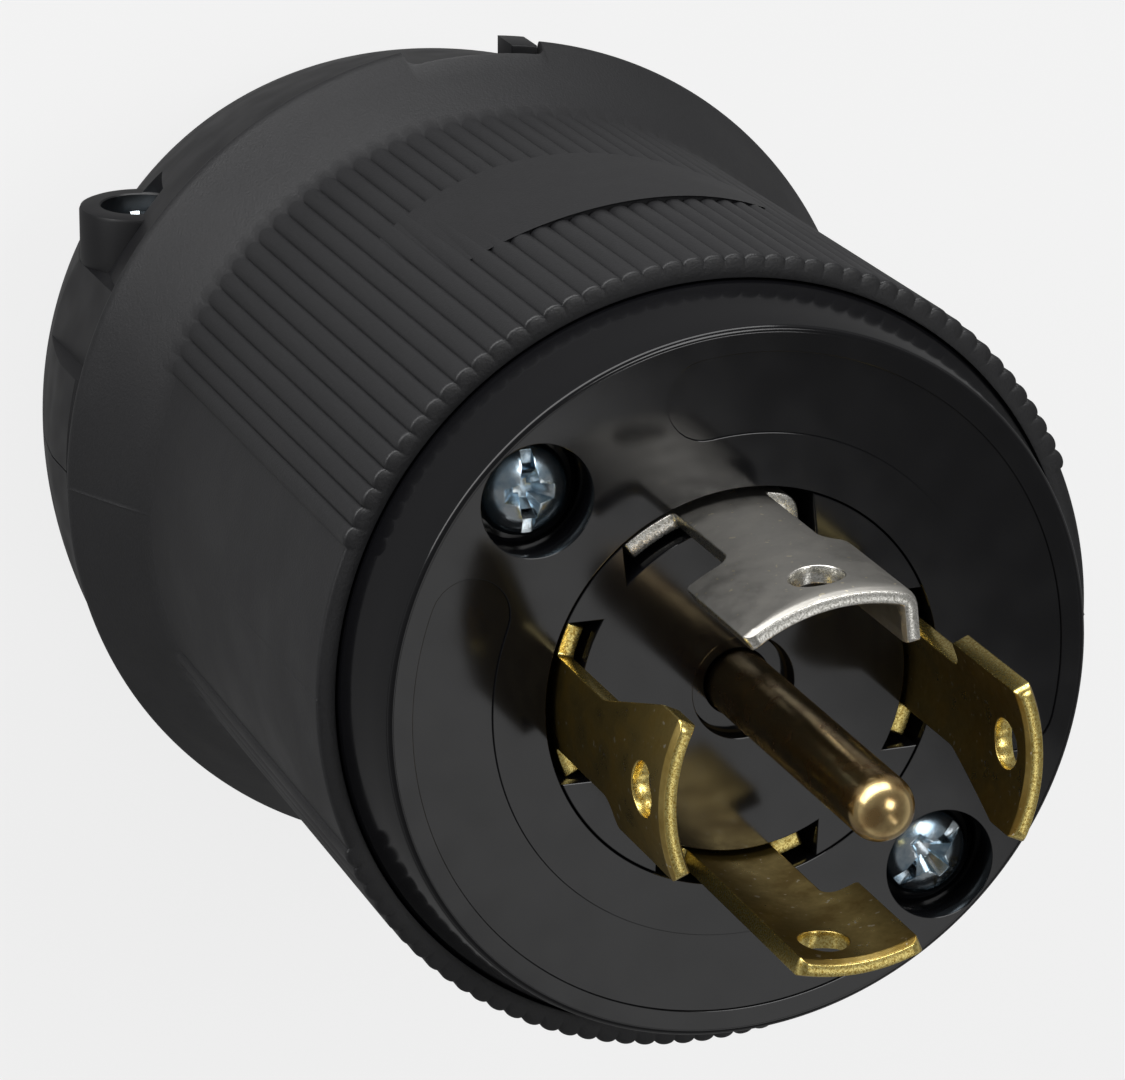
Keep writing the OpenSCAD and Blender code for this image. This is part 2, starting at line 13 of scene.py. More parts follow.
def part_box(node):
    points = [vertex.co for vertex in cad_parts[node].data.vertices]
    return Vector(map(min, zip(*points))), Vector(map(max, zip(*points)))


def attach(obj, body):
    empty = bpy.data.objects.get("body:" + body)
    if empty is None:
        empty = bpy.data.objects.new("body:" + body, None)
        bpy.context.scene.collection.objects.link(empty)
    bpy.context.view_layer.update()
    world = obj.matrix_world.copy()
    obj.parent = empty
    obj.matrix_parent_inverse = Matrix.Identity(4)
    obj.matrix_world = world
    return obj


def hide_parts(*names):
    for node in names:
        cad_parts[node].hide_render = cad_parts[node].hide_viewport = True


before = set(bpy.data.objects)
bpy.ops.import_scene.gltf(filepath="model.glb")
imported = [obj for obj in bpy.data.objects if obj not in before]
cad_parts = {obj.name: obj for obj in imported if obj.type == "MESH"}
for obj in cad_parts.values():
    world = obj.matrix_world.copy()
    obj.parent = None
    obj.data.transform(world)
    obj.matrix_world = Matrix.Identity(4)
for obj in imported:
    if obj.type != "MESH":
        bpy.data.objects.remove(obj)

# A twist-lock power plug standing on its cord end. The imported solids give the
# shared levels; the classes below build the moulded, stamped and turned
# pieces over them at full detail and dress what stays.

LOG = logging.getLogger("plug")
MM = 0.001
Point2 = tuple[float, float]
Loop = list[Point2]


# ---------------------------------------------------------------- colour, nodes


def srgb(code: str) -> tuple[float, float, float, float]:
    """Turns an sRGB hex colour such as "#1A1A1C" into linear RGBA.

    Args:
        code: the colour, with or without its hash sign.
    Returns:
        The linear red, green, blue and an alpha of 1.
    """
    code = code.lstrip("#")
    parts = [int(code[i : i + 2], 16) / 255 for i in (0, 2, 4)]
    linear = [c / 12.92 if c <= 0.04045 else ((c + 0.055) / 1.055) ** 2.4 for c in parts]
    return (linear[0], linear[1], linear[2], 1.0)


def add(
    tree: bpy.types.NodeTree,
    kind: str,
    settings: dict[str, object] | None = None,
    inputs: dict[str | int, object] | None = None,
) -> bpy.types.Node:
    """Adds a node, sets its properties, and fills or links its inputs.

    Args:
        tree: the material's or world's node tree.
        kind: the node's type, such as "ShaderNodeTexNoise".
        settings: properties of the node.
        inputs: input names or indices, each with a value or an output socket.
    Returns:
        The new node.
    """
    node = tree.nodes.new(kind)
    for key, value in (settings or {}).items():
        setattr(node, key, value)
    for key, value in (inputs or {}).items():
        if isinstance(value, bpy.types.NodeSocket):
            tree.links.new(value, node.inputs[key])
        else:
            node.inputs[key].default_value = value
    return node


def per_metre(size_mm: float) -> float:
    """Texture scale that makes one feature about size_mm across, in metres of object space."""
    return 1.0 / (size_mm * MM)


def ramp(tree: bpy.types.NodeTree, factor: bpy.types.NodeSocket, stops: Sequence[tuple[float, float]]) -> bpy.types.NodeSocket:
    """Maps a factor through grey stops.

    Args:
        tree: the node tree.
        factor: the socket to map.
        stops: pairs of position and grey value, in order.
    Returns:
        The ramp's output socket.
    """
    node = add(tree, "ShaderNodeValToRGB", inputs={"Fac": factor})
    elements = node.color_ramp.elements
    while len(elements) < len(stops):
        elements.new(0.5)
    for element, (position, grey) in zip(elements, stops):
        element.position = position
        element.color = (grey, grey, grey, 1.0)
    return node.outputs["Color"]


# ---------------------------------------------------------------- finishes


def blank_material(name: str) -> tuple[bpy.types.Material, bpy.types.NodeTree, bpy.types.Node, bpy.types.NodeSocket]:
    """Starts a node material.

    Args:
        name: the finish's name.
    Returns:
        The material, its tree, its Principled node and object coordinates.
    """
    material = bpy.data.materials.new(name)
    material.use_nodes = True
    tree = material.node_tree
    tree.nodes.clear()
    shader = add(tree, "ShaderNodeBsdfPrincipled")
    add(tree, "ShaderNodeOutputMaterial", inputs={"Surface": shader.outputs["BSDF"]})
    coords = add(tree, "ShaderNodeTexCoord").outputs["Object"]
    return material, tree, shader, coords


@dataclass(frozen=True)
class SparkErodedNylon:
    """Black nylon 66 moulded against a spark-eroded steel cavity: a fine even grain
    that spreads highlights wide and breaks them into small grey grains."""

    name: str = "black_nylon_spark_eroded_mould"
    colour: str = "#1B1B1D"
    roughness: float = 0.46
    grain_mm: float = 0.2  # the real 0.1 mm grain, drawn coarser so that it shows
    grain_depth_mm: float = 0.011
    specular: float = 0.5

    def build(self) -> bpy.types.Material:
        """Builds the grain as bump, with roughness and colour varying a little."""
        material, tree, shader, coords = blank_material(self.name)
        grain = add(tree, "ShaderNodeTexNoise", inputs={"Vector": coords, "Scale": per_metre(self.grain_mm), "Detail": 2.0, "Roughness": 0.6})
        drift = add(tree, "ShaderNodeTexNoise", inputs={"Vector": coords, "Scale": per_metre(9.0), "Detail": 3.0})
        handled = add(tree, "ShaderNodeMapRange", inputs={"Value": drift.outputs["Fac"], "From Min": 0.35, "From Max": 0.68, "To Min": self.roughness - 0.05, "To Max": self.roughness + 0.07})
        tint = add(tree, "ShaderNodeMixRGB", {"blend_type": "MULTIPLY"}, {"Fac": 1.0, "Color1": srgb(self.colour), "Color2": ramp(tree, grain.outputs["Fac"], [(0.3, 0.72), (0.7, 1.2)])})
        bump = add(tree, "ShaderNodeBump", inputs={"Strength": 1.0, "Distance": self.grain_depth_mm * MM * 2, "Height": grain.outputs["Fac"]})
        tree.links.new(tint.outputs["Color"], shader.inputs["Base Color"])
        tree.links.new(handled.outputs["Result"], shader.inputs["Roughness"])
        tree.links.new(bump.outputs["Normal"], shader.inputs["Normal"])
        shader.inputs["Specular IOR Level"].default_value = self.specular
        shader.inputs["IOR"].default_value = 1.53
        return material


@dataclass(frozen=True)
class MouldedPlastic:
    """Black plastic from a polished or lightly blasted mould: smooth to the eye, with
    a faint ripple in its reflections, hair scratches and a few specks of dust."""

    name: str
    colour: str
    roughness: float
    specular: float
    ripple_depth_mm: float = 0.004
    speck: float = 0.5

    def build(self) -> bpy.types.Material:
        """Builds the ripple as bump and the dust as small pale specks."""
        material, tree, shader, coords = blank_material(self.name)
        ripple = add(tree, "ShaderNodeTexNoise", inputs={"Vector": coords, "Scale": per_metre(3.5), "Detail": 1.0})
        fine = add(tree, "ShaderNodeTexNoise", inputs={"Vector": coords, "Scale": per_metre(0.25), "Detail": 2.0})
        haze = add(tree, "ShaderNodeMapRange", inputs={"Value": ripple.outputs["Fac"], "From Min": 0.35, "From Max": 0.7, "To Min": self.roughness, "To Max": self.roughness * 1.35})
        dust = add(tree, "ShaderNodeTexVoronoi", {"feature": "F1"}, {"Vector": coords, "Scale": per_metre(1.9)})
        # Few cells hold a speck of dust, each about a twelfth of a millimetre across
        held = add(tree, "ShaderNodeMath", {"operation": "GREATER_THAN"}, {0: dust.outputs["Color"], 1: 0.9})
        near = add(tree, "ShaderNodeMath", {"operation": "LESS_THAN"}, {0: dust.outputs["Distance"], 1: 0.035})
        spot = add(tree, "ShaderNodeMath", {"operation": "MULTIPLY"}, {0: held.outputs["Value"], 1: near.outputs["Value"]})
        spot = add(tree, "ShaderNodeMath", {"operation": "MULTIPLY"}, {0: spot.outputs["Value"], 1: self.speck})
        tint = add(tree, "ShaderNodeMixRGB", inputs={"Fac": spot.outputs["Value"], "Color1": srgb(self.colour), "Color2": srgb("#8C8C8A")})
        height = add(tree, "ShaderNodeMath", {"operation": "MULTIPLY_ADD"}, {0: fine.outputs["Fac"], 1: 0.06, 2: ripple.outputs["Fac"]})
        bump = add(tree, "ShaderNodeBump", inputs={"Strength": 1.0, "Distance": self.ripple_depth_mm * MM, "Height": height.outputs["Value"]})
        tree.links.new(tint.outputs["Color"], shader.inputs["Base Color"])
        tree.links.new(haze.outputs["Result"], shader.inputs["Roughness"])
        tree.links.new(bump.outputs["Normal"], shader.inputs["Normal"])
        shader.inputs["Specular IOR Level"].default_value = self.specular
        shader.inputs["IOR"].default_value = 1.5
        return material


@dataclass(frozen=True)
class SheetMetal:
    """Rolled sheet, blanked and bent: a satin grain along the rolling direction, soft
    mottling where the air has dulled it, and small bright knocks."""

    name: str
    bright: str
    dull: str
    roughness: float
    grain_mm: float = 0.12
    grain_depth_mm: float = 0.0016
    mottle_mm: float = 2.2

    def build(self) -> bpy.types.Material:
        """Builds the grain stretched along Z, over a mottled colour."""
        material, tree, shader, coords = blank_material(self.name)
        stretch = add(tree, "ShaderNodeMapping", inputs={"Vector": coords, "Scale": (1.0, 1.0, 0.12)})
        grain = add(tree, "ShaderNodeTexNoise", inputs={"Vector": stretch.outputs["Vector"], "Scale": per_metre(self.grain_mm), "Detail": 3.0, "Roughness": 0.65})
        mottle = add(tree, "ShaderNodeTexNoise", inputs={"Vector": coords, "Scale": per_metre(self.mottle_mm), "Detail": 5.0, "Roughness": 0.6})
        tint = add(tree, "ShaderNodeMixRGB", inputs={"Fac": ramp(tree, mottle.outputs["Fac"], [(0.36, 0.0), (0.66, 1.0)]), "Color1": srgb(self.dull), "Color2": srgb(self.bright)})
        knock = add(tree, "ShaderNodeTexNoise", inputs={"Vector": coords, "Scale": per_metre(0.55), "Detail": 1.0})
        worn = add(tree, "ShaderNodeMixRGB", inputs={"Fac": ramp(tree, knock.outputs["Fac"], [(0.7, 0.0), (0.74, 0.8)]), "Color1": tint.outputs["Color"], "Color2": srgb("#FFF6DC")})
        satin = add(tree, "ShaderNodeMapRange", inputs={"Value": mottle.outputs["Fac"], "From Min": 0.35, "From Max": 0.68, "To Min": self.roughness + 0.07, "To Max": self.roughness - 0.04})
        bump = add(tree, "ShaderNodeBump", inputs={"Strength": 1.0, "Distance": self.grain_depth_mm * MM * 2, "Height": grain.outputs["Fac"]})
        tree.links.new(worn.outputs["Color"], shader.inputs["Base Color"])
        tree.links.new(satin.outputs["Result"], shader.inputs["Roughness"])
        tree.links.new(bump.outputs["Normal"], shader.inputs["Normal"])
        shader.inputs["Metallic"].default_value = 1.0
        return material


@dataclass(frozen=True)
class ShearedEdge:
    """The cut edge of blanked sheet, coloured brighter than the rolled faces: partly burnished
    metal, partly a painted highlight of the overhead light; with fine tears across the thickness."""

    name: str
    bright: str
    torn_hollow_shade: str
    roughness: float = 0.22

    def build(self) -> bpy.types.Material:
        """Builds the tears as bump; the colour is darker in their hollows, partly duller metal and partly painted
        shade.
        """
        material, tree, shader, coords = blank_material(self.name)
        tears = add(tree, "ShaderNodeTexNoise", inputs={"Vector": coords, "Scale": per_metre(0.16), "Detail": 4.0, "Roughness": 0.7})
        # Painted highlight and painted shade: the brighter edge colour stands in partly for reflected overhead light,
        # and the tears' hollows are painted darker
        tint = add(tree, "ShaderNodeMixRGB", inputs={"Fac": ramp(tree, tears.outputs["Fac"], [(0.38, 0.0), (0.55, 1.0)]), "Color1": srgb(self.torn_hollow_shade), "Color2": srgb(self.bright)})
        rough = add(tree, "ShaderNodeMapRange", inputs={"Value": tears.outputs["Fac"], "From Min": 0.35, "From Max": 0.65, "To Min": self.roughness + 0.12, "To Max": self.roughness})
        bump = add(tree, "ShaderNodeBump", inputs={"Strength": 1.0, "Distance": 0.006 * MM, "Height": tears.outputs["Fac"]})
        tree.links.new(tint.outputs["Color"], shader.inputs["Base Color"])
        tree.links.new(rough.outputs["Result"], shader.inputs["Roughness"])
        tree.links.new(bump.outputs["Normal"], shader.inputs["Normal"])
        shader.inputs["Metallic"].default_value = 1.0
        return material


@dataclass(frozen=True)
class TurnedOrPlatedMetal:
    """Cold-headed or turned metal, bare or zinc plated: bright, slightly hammered, with
    the plating's faint blue or the bare metal's brown in the hollows."""

    name: str
    bright: str
    hollow: str
    roughness: float
    dent_mm: float = 0.7
    dent_depth_mm: float = 0.012

    def build(self) -> bpy.types.Material:
        """Builds shallow dents and a cloudy tint."""
        material, tree, shader, coords = blank_material(self.name)
        dents = add(tree, "ShaderNodeTexNoise", inputs={"Vector": coords, "Scale": per_metre(self.dent_mm), "Detail": 4.0, "Roughness": 0.55})
        cloud = add(tree, "ShaderNodeTexNoise", inputs={"Vector": coords, "Scale": per_metre(1.6), "Detail": 3.0})
        tint = add(tree, "ShaderNodeMixRGB", inputs={"Fac": ramp(tree, cloud.outputs["Fac"], [(0.38, 0.0), (0.62, 1.0)]), "Color1": srgb(self.hollow), "Color2": srgb(self.bright)})
        rough = add(tree, "ShaderNodeMapRange", inputs={"Value": cloud.outputs["Fac"], "From Min": 0.35, "From Max": 0.65, "To Min": self.roughness + 0.08, "To Max": self.roughness})
        bump = add(tree, "ShaderNodeBump", inputs={"Strength": 1.0, "Distance": self.dent_depth_mm * MM, "Height": dents.outputs["Fac"]})
        tree.links.new(tint.outputs["Color"], shader.inputs["Base Color"])
        tree.links.new(rough.outputs["Result"], shader.inputs["Roughness"])
        tree.links.new(bump.outputs["Normal"], shader.inputs["Normal"])
        shader.inputs["Metallic"].default_value = 1.0
        return material


class Finish(Enum):
    """The plug's finishes, each with what builds it."""

    SLEEVE = SparkErodedNylon()
    FACE = MouldedPlastic("black_phenolic_polished_mould", "#0E0E10", 0.1, 0.4)
    CLAMP = MouldedPlastic("black_nylon_blasted_mould", "#161618", 0.34, 0.45, 0.006, 0.35)
    BLOCK = MouldedPlastic("dark_phenolic_block", "#2A2A2B", 0.4, 0.4, 0.006, 0.2)
    RUBBER = MouldedPlastic("black_neoprene_moulded", "#141414", 0.62, 0.35, 0.01, 0.3)
    BRASS = SheetMetal("brass_rolled_sheet", "#D9BE72", "#A98D48", 0.3)
    # Sheared-edge finishes: brighter than their sheets, partly as burnished metal and partly as a painted highlight
    BRASS_EDGE = ShearedEdge("brass_sheared_edge_painted_highlight", "#F4E08E", "#B08F3E")
    NICKEL = SheetMetal("nickel_plated_brass_sheet", "#D2CFC8", "#BDBAB3", 0.36)
    # Brighter than the nickel sheet, partly as a painted highlight
    NICKEL_EDGE = ShearedEdge("nickel_plated_sheared_edge_painted_highlight", "#F3F1EA", "#A8A59C")
    PIN = TurnedOrPlatedMetal("brass_rod_turned", "#D6BC86", "#A98A5C", 0.2, 0.9, 0.006)
    ZINC = TurnedOrPlatedMetal("zinc_plated_steel", "#DCE6EC", "#9DB4C4", 0.16)
    INSERT = TurnedOrPlatedMetal("brass_turned_insert", "#D8BE78", "#A88C4A", 0.25)

    def material(self) -> bpy.types.Material:
        """Returns the finish's material, building it the first time."""
        return bpy.data.materials.get(self.value.name) or self.value.build()


# ---------------------------------------------------------------- mesh making


def new_object(name: str, vertices: np.ndarray, faces: Sequence[Sequence[int]]) -> bpy.types.Object:
    """Makes an object from points in millimetres.

    Args:
        name: the piece's name.
        vertices: an N by 3 array, in millimetres.
        faces: vertex indices of each face.
    Returns:
        The linked object, in metres.
    """
    mesh = bpy.data.meshes.new(name)
    mesh.from_pydata((np.asarray(vertices, float) * MM).tolist(), [], [list(f) for f in faces])
    mesh.validate()
    piece = bpy.data.objects.new(name, mesh)
    bpy.context.scene.collection.objects.link(piece)
    return piece


def ring_mesh(name: str, columns: np.ndarray, closed_profile: bool = False) -> bpy.types.Object:
    """Skins columns of points that go once round the axis.

    Args:
        name: the piece's name.
        columns: an array of columns by points by 3, in millimetres.
        closed_profile: whether each column's last point joins its first.
    Returns:
        The new object.
    """
    count, rows = columns.shape[:2]
    j = np.arange(rows if closed_profile else rows - 1)
    i = np.arange(count)
    a, b = np.meshgrid(i, j, indexing="ij")
    nxt, low = (a + 1) % count, (b + 1) % rows
    faces = np.stack([a * rows + b, nxt * rows + b, nxt * rows + low, a * rows + low], -1).reshape(-1, 4)
    return new_object(name, columns.reshape(-1, 3), faces.tolist())


def lathe(name: str, profile: Sequence[Point2], segments: int = 192, closed: bool = True) -> bpy.types.Object:
    """Turns a profile of (radius, height) points round the axis.

    Args:
        name: the piece's name.
        profile: the points, in millimetres.
        segments: steps round the axis.
        closed: whether the profile's last point joins its first.
    Returns:
        The new object; points on the axis are merged.
    """
    angles = np.linspace(0, 2 * math.pi, segments, endpoint=False)
    p = np.array(profile, float)
    columns = np.stack(
        [np.outer(np.cos(angles), p[:, 0]), np.outer(np.sin(angles), p[:, 0]), np.tile(p[:, 1], (segments, 1))], -1
    )
    piece = ring_mesh(name, columns, closed)
    mesh = bmesh.new()
    mesh.from_mesh(piece.data)
    bmesh.ops.remove_doubles(mesh, verts=mesh.verts, dist=1e-7)
    bmesh.ops.recalc_face_normals(mesh, faces=mesh.faces)
    mesh.to_mesh(piece.data)
    mesh.free()
    return piece


def arc(centre: Point2, radius: float, start: float, end: float, steps: int = 12) -> Loop:
    """Points on an arc.

    Args:
        centre: the arc's centre.
        radius: its radius.
        start: first angle, in degrees.
        end: last angle, in degrees.
        steps: number of chords.
    Returns:
        The points, both ends included.
    """
    return [
        (centre[0] + radius * math.cos(math.radians(a)), centre[1] + radius * math.sin(math.radians(a)))
        for a in np.linspace(start, end, steps + 1)
    ]


def rounded(corners: Sequence[tuple[float, float, float]], steps: int = 5) -> Loop:
    """Rounds the corners of a polygon.

    Args:
        corners: (x, y, corner radius) in order round the outline.
        steps: chords per rounded corner.
    Returns:
        The outline's points.
    """
    out: Loop = []
    n = len(corners)
    for i, (x, y, r) in enumerate(corners):
        here, before, after = Vector((x, y)), Vector(corners[i - 1][:2]), Vector(corners[(i + 1) % n][:2])
        if r <= 0:
            out.append((x, y))
            continue
        a, b = (before - here).normalized(), (after - here).normalized()
        half = a.angle(b) / 2
        reach = min(r / math.tan(half), 0.49 * (before - here).length, 0.49 * (after - here).length)
        start, end = here + a * reach, here + b * reach
        centre = here + (a + b).normalized() * (reach / math.cos(half))
        for k in range(steps + 1):
            t = k / steps
            chord = (start - centre).lerp(end - centre, t).normalized() * (start - centre).length
            out.append(tuple(centre + chord))
    return out


def plate(name: str, loops: Sequence[Loop], thickness: float, edge: float, edge_steps: int = 2) -> bpy.types.Object:
    """Makes a flat plate with rounded edges, its top at height 0.

    Args:
        name: the piece's name.
        loops: the outline and any holes, in millimetres.
        thickness: in millimetres.
        edge: rounding of the edges, in millimetres.
        edge_steps: rings in the rounding.
    Returns:
        The plate as a mesh object, in metres.
    """
    curve = bpy.data.curves.new(name, "CURVE")
    curve.dimensions = "2D"
    curve.fill_mode = "BOTH"
    curve.extrude = (thickness / 2 - edge) * MM
    curve.bevel_depth = edge * MM
    curve.bevel_resolution = edge_steps - 1
    curve.offset = -edge * MM
    for loop in loops:
        spline = curve.splines.new("POLY")
        spline.points.add(len(loop) - 1)
        for point, (x, y) in zip(spline.points, loop):
            point.co = (x * MM, y * MM, 0, 1)
        spline.use_cyclic_u = True
    holder = bpy.data.objects.new(name, curve)
    bpy.context.scene.collection.objects.link(holder)
    bpy.context.view_layer.update()
    mesh = bpy.data.meshes.new_from_object(holder.evaluated_get(bpy.context.evaluated_depsgraph_get()))
    bpy.data.objects.remove(holder)
    bpy.data.curves.remove(curve)
    mesh.name = name
    piece = bpy.data.objects.new(name, mesh)
    bpy.context.scene.collection.objects.link(piece)
    mesh.transform(Matrix.Translation((0, 0, -thickness / 2 * MM)))
    weld(piece)
    crease_flats(piece)
    return piece


def crease_flats(piece: bpy.types.Object) -> None:
    """Marks the edges where a plate's flat faces meet its rounded edges."""
    mesh = bmesh.new()
    mesh.from_mesh(piece.data)
    for edge in mesh.edges:
        flats = [abs(face.normal.z) > 0.9999 for face in edge.link_faces]
        edge.smooth = len(set(flats)) < 2
    mesh.to_mesh(piece.data)
    mesh.free()


def weld(piece: bpy.types.Object, distance_mm: float = 0.0005) -> None:
    """Merges doubled points and turns the faces outwards."""
    mesh = bmesh.new()
    mesh.from_mesh(piece.data)
    bmesh.ops.remove_doubles(mesh, verts=mesh.verts, dist=distance_mm * MM)
    bmesh.ops.dissolve_degenerate(mesh, edges=mesh.edges, dist=distance_mm * MM)
    bmesh.ops.recalc_face_normals(mesh, faces=mesh.faces)
    mesh.to_mesh(piece.data)
    mesh.free()


def slice_along(piece: bpy.types.Object, axis: int, stations_mm: Sequence[float]) -> None:
    """Cuts extra edges through a mesh at stations along one axis, so that it can be bent."""
    mesh = bmesh.new()
    mesh.from_mesh(piece.data)
    normal = [0.0, 0.0, 0.0]
    normal[axis] = 1.0
    for station in stations_mm:
        point = [0.0, 0.0, 0.0]
        point[axis] = station * MM
        bmesh.ops.bisect_plane(
            mesh, geom=mesh.verts[:] + mesh.edges[:] + mesh.faces[:], plane_co=point, plane_no=normal, dist=1e-7
        )
    mesh.to_mesh(piece.data)
    mesh.free()


def remap(piece: bpy.types.Object, shape: Callable[[np.ndarray], np.ndarray]) -> None:
    """Moves every point of a mesh.

    Args:
        piece: the object to bend.
        shape: takes an N by 3 array in millimetres and returns the new one.
    """
    data = np.empty(len(piece.data.vertices) * 3)
    piece.data.vertices.foreach_get("co", data)
    moved = shape(data.reshape(-1, 3) / MM) * MM
    piece.data.vertices.foreach_set("co", moved.ravel())
    piece.data.update()


class Combine(Enum):
    """What a tool does to the piece it meets."""

    CUT = "DIFFERENCE"
    JOIN = "UNION"
    KEEP = "INTERSECT"


def combine(piece: bpy.types.Object, how: Combine, tools: Sequence[bpy.types.Object]) -> None:
    """Cuts, joins or intersects a piece with tools, which are used up."""
    for tool in tools:
        change = piece.modifiers.new("combine", "BOOLEAN")
        change.operation = how.value
        change.solver = "EXACT"
        change.object = tool
        apply_modifiers(piece)
        bpy.data.objects.remove(tool)


def apply_modifiers(piece: bpy.types.Object) -> None:
    """Bakes a piece's modifiers into its mesh."""
    bpy.context.view_layer.update()
    mesh = bpy.data.meshes.new_from_object(piece.evaluated_get(bpy.context.evaluated_depsgraph_get()))
    piece.modifiers.clear()
    piece.data = mesh


def smooth(piece: bpy.types.Object, crease_degrees: float = 32.0) -> None:
    """Shades a piece smooth between its creases; edges already marked as creases stay so."""
    mesh = piece.data
    marked = [edge.use_edge_sharp for edge in mesh.edges]
    mesh.polygons.foreach_set("use_smooth", [True] * len(mesh.polygons))
    mesh.set_sharp_from_angle(angle=math.radians(crease_degrees))
    for edge, sharp in zip(mesh.edges, marked):
        if sharp:
            edge.use_edge_sharp = True
    mesh.update()


def lift(piece: bpy.types.Object, offset: Sequence[float]) -> bpy.types.Object:
    """Moves a piece's mesh by an offset in millimetres and returns the piece."""
    piece.data.transform(Matrix.Translation(Vector(offset) * MM))
    return piece


def hand_over(piece: bpy.types.Object, finishes: Sequence[Finish], stands_for: Sequence[str] = ()) -> None:
    """Gives a finished piece its materials and its place on the plug.

    Args:
        piece: the object.
        finishes: one for each material index used by its faces.
        stands_for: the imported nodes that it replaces.
    """
    piece.data.materials.clear()
    for finish in finishes:
        piece.data.materials.append(finish.material())
    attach(piece, "root")
    if stands_for:
        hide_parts(*stands_for)
    LOG.info("built %s: %d faces", piece.name, len(piece.data.polygons))


def turned(point: Point2, degrees: float) -> Point2:
    """Turns a plane point about the origin."""
    a = math.radians(degrees)
    return (point[0] * math.cos(a) - point[1] * math.sin(a), point[0] * math.sin(a) + point[1] * math.cos(a))


# ---------------------------------------------------------------- the plug


@dataclass(frozen=True)
class Levels:
    """Heights that the pieces share, in millimetres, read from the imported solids."""

    face: float
    rim: float
    flange: float
    blade_tip: float
    pin_tip: float
    carrier_back: float

    @classmethod
    def from_frame(cls) -> "Levels":
        """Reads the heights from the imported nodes' boxes."""
        carrier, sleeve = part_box("contact_carrier"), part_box("grip_sleeve")
        return cls(
            face=carrier[1].z / MM,
            rim=sleeve[1].z / MM,
            flange=sleeve[0].z / MM,
            blade_tip=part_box("blade_x")[1].z / MM,
            pin_tip=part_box("ground_pin")[1].z / MM,
            carrier_back=carrier[0].z / MM,
        )


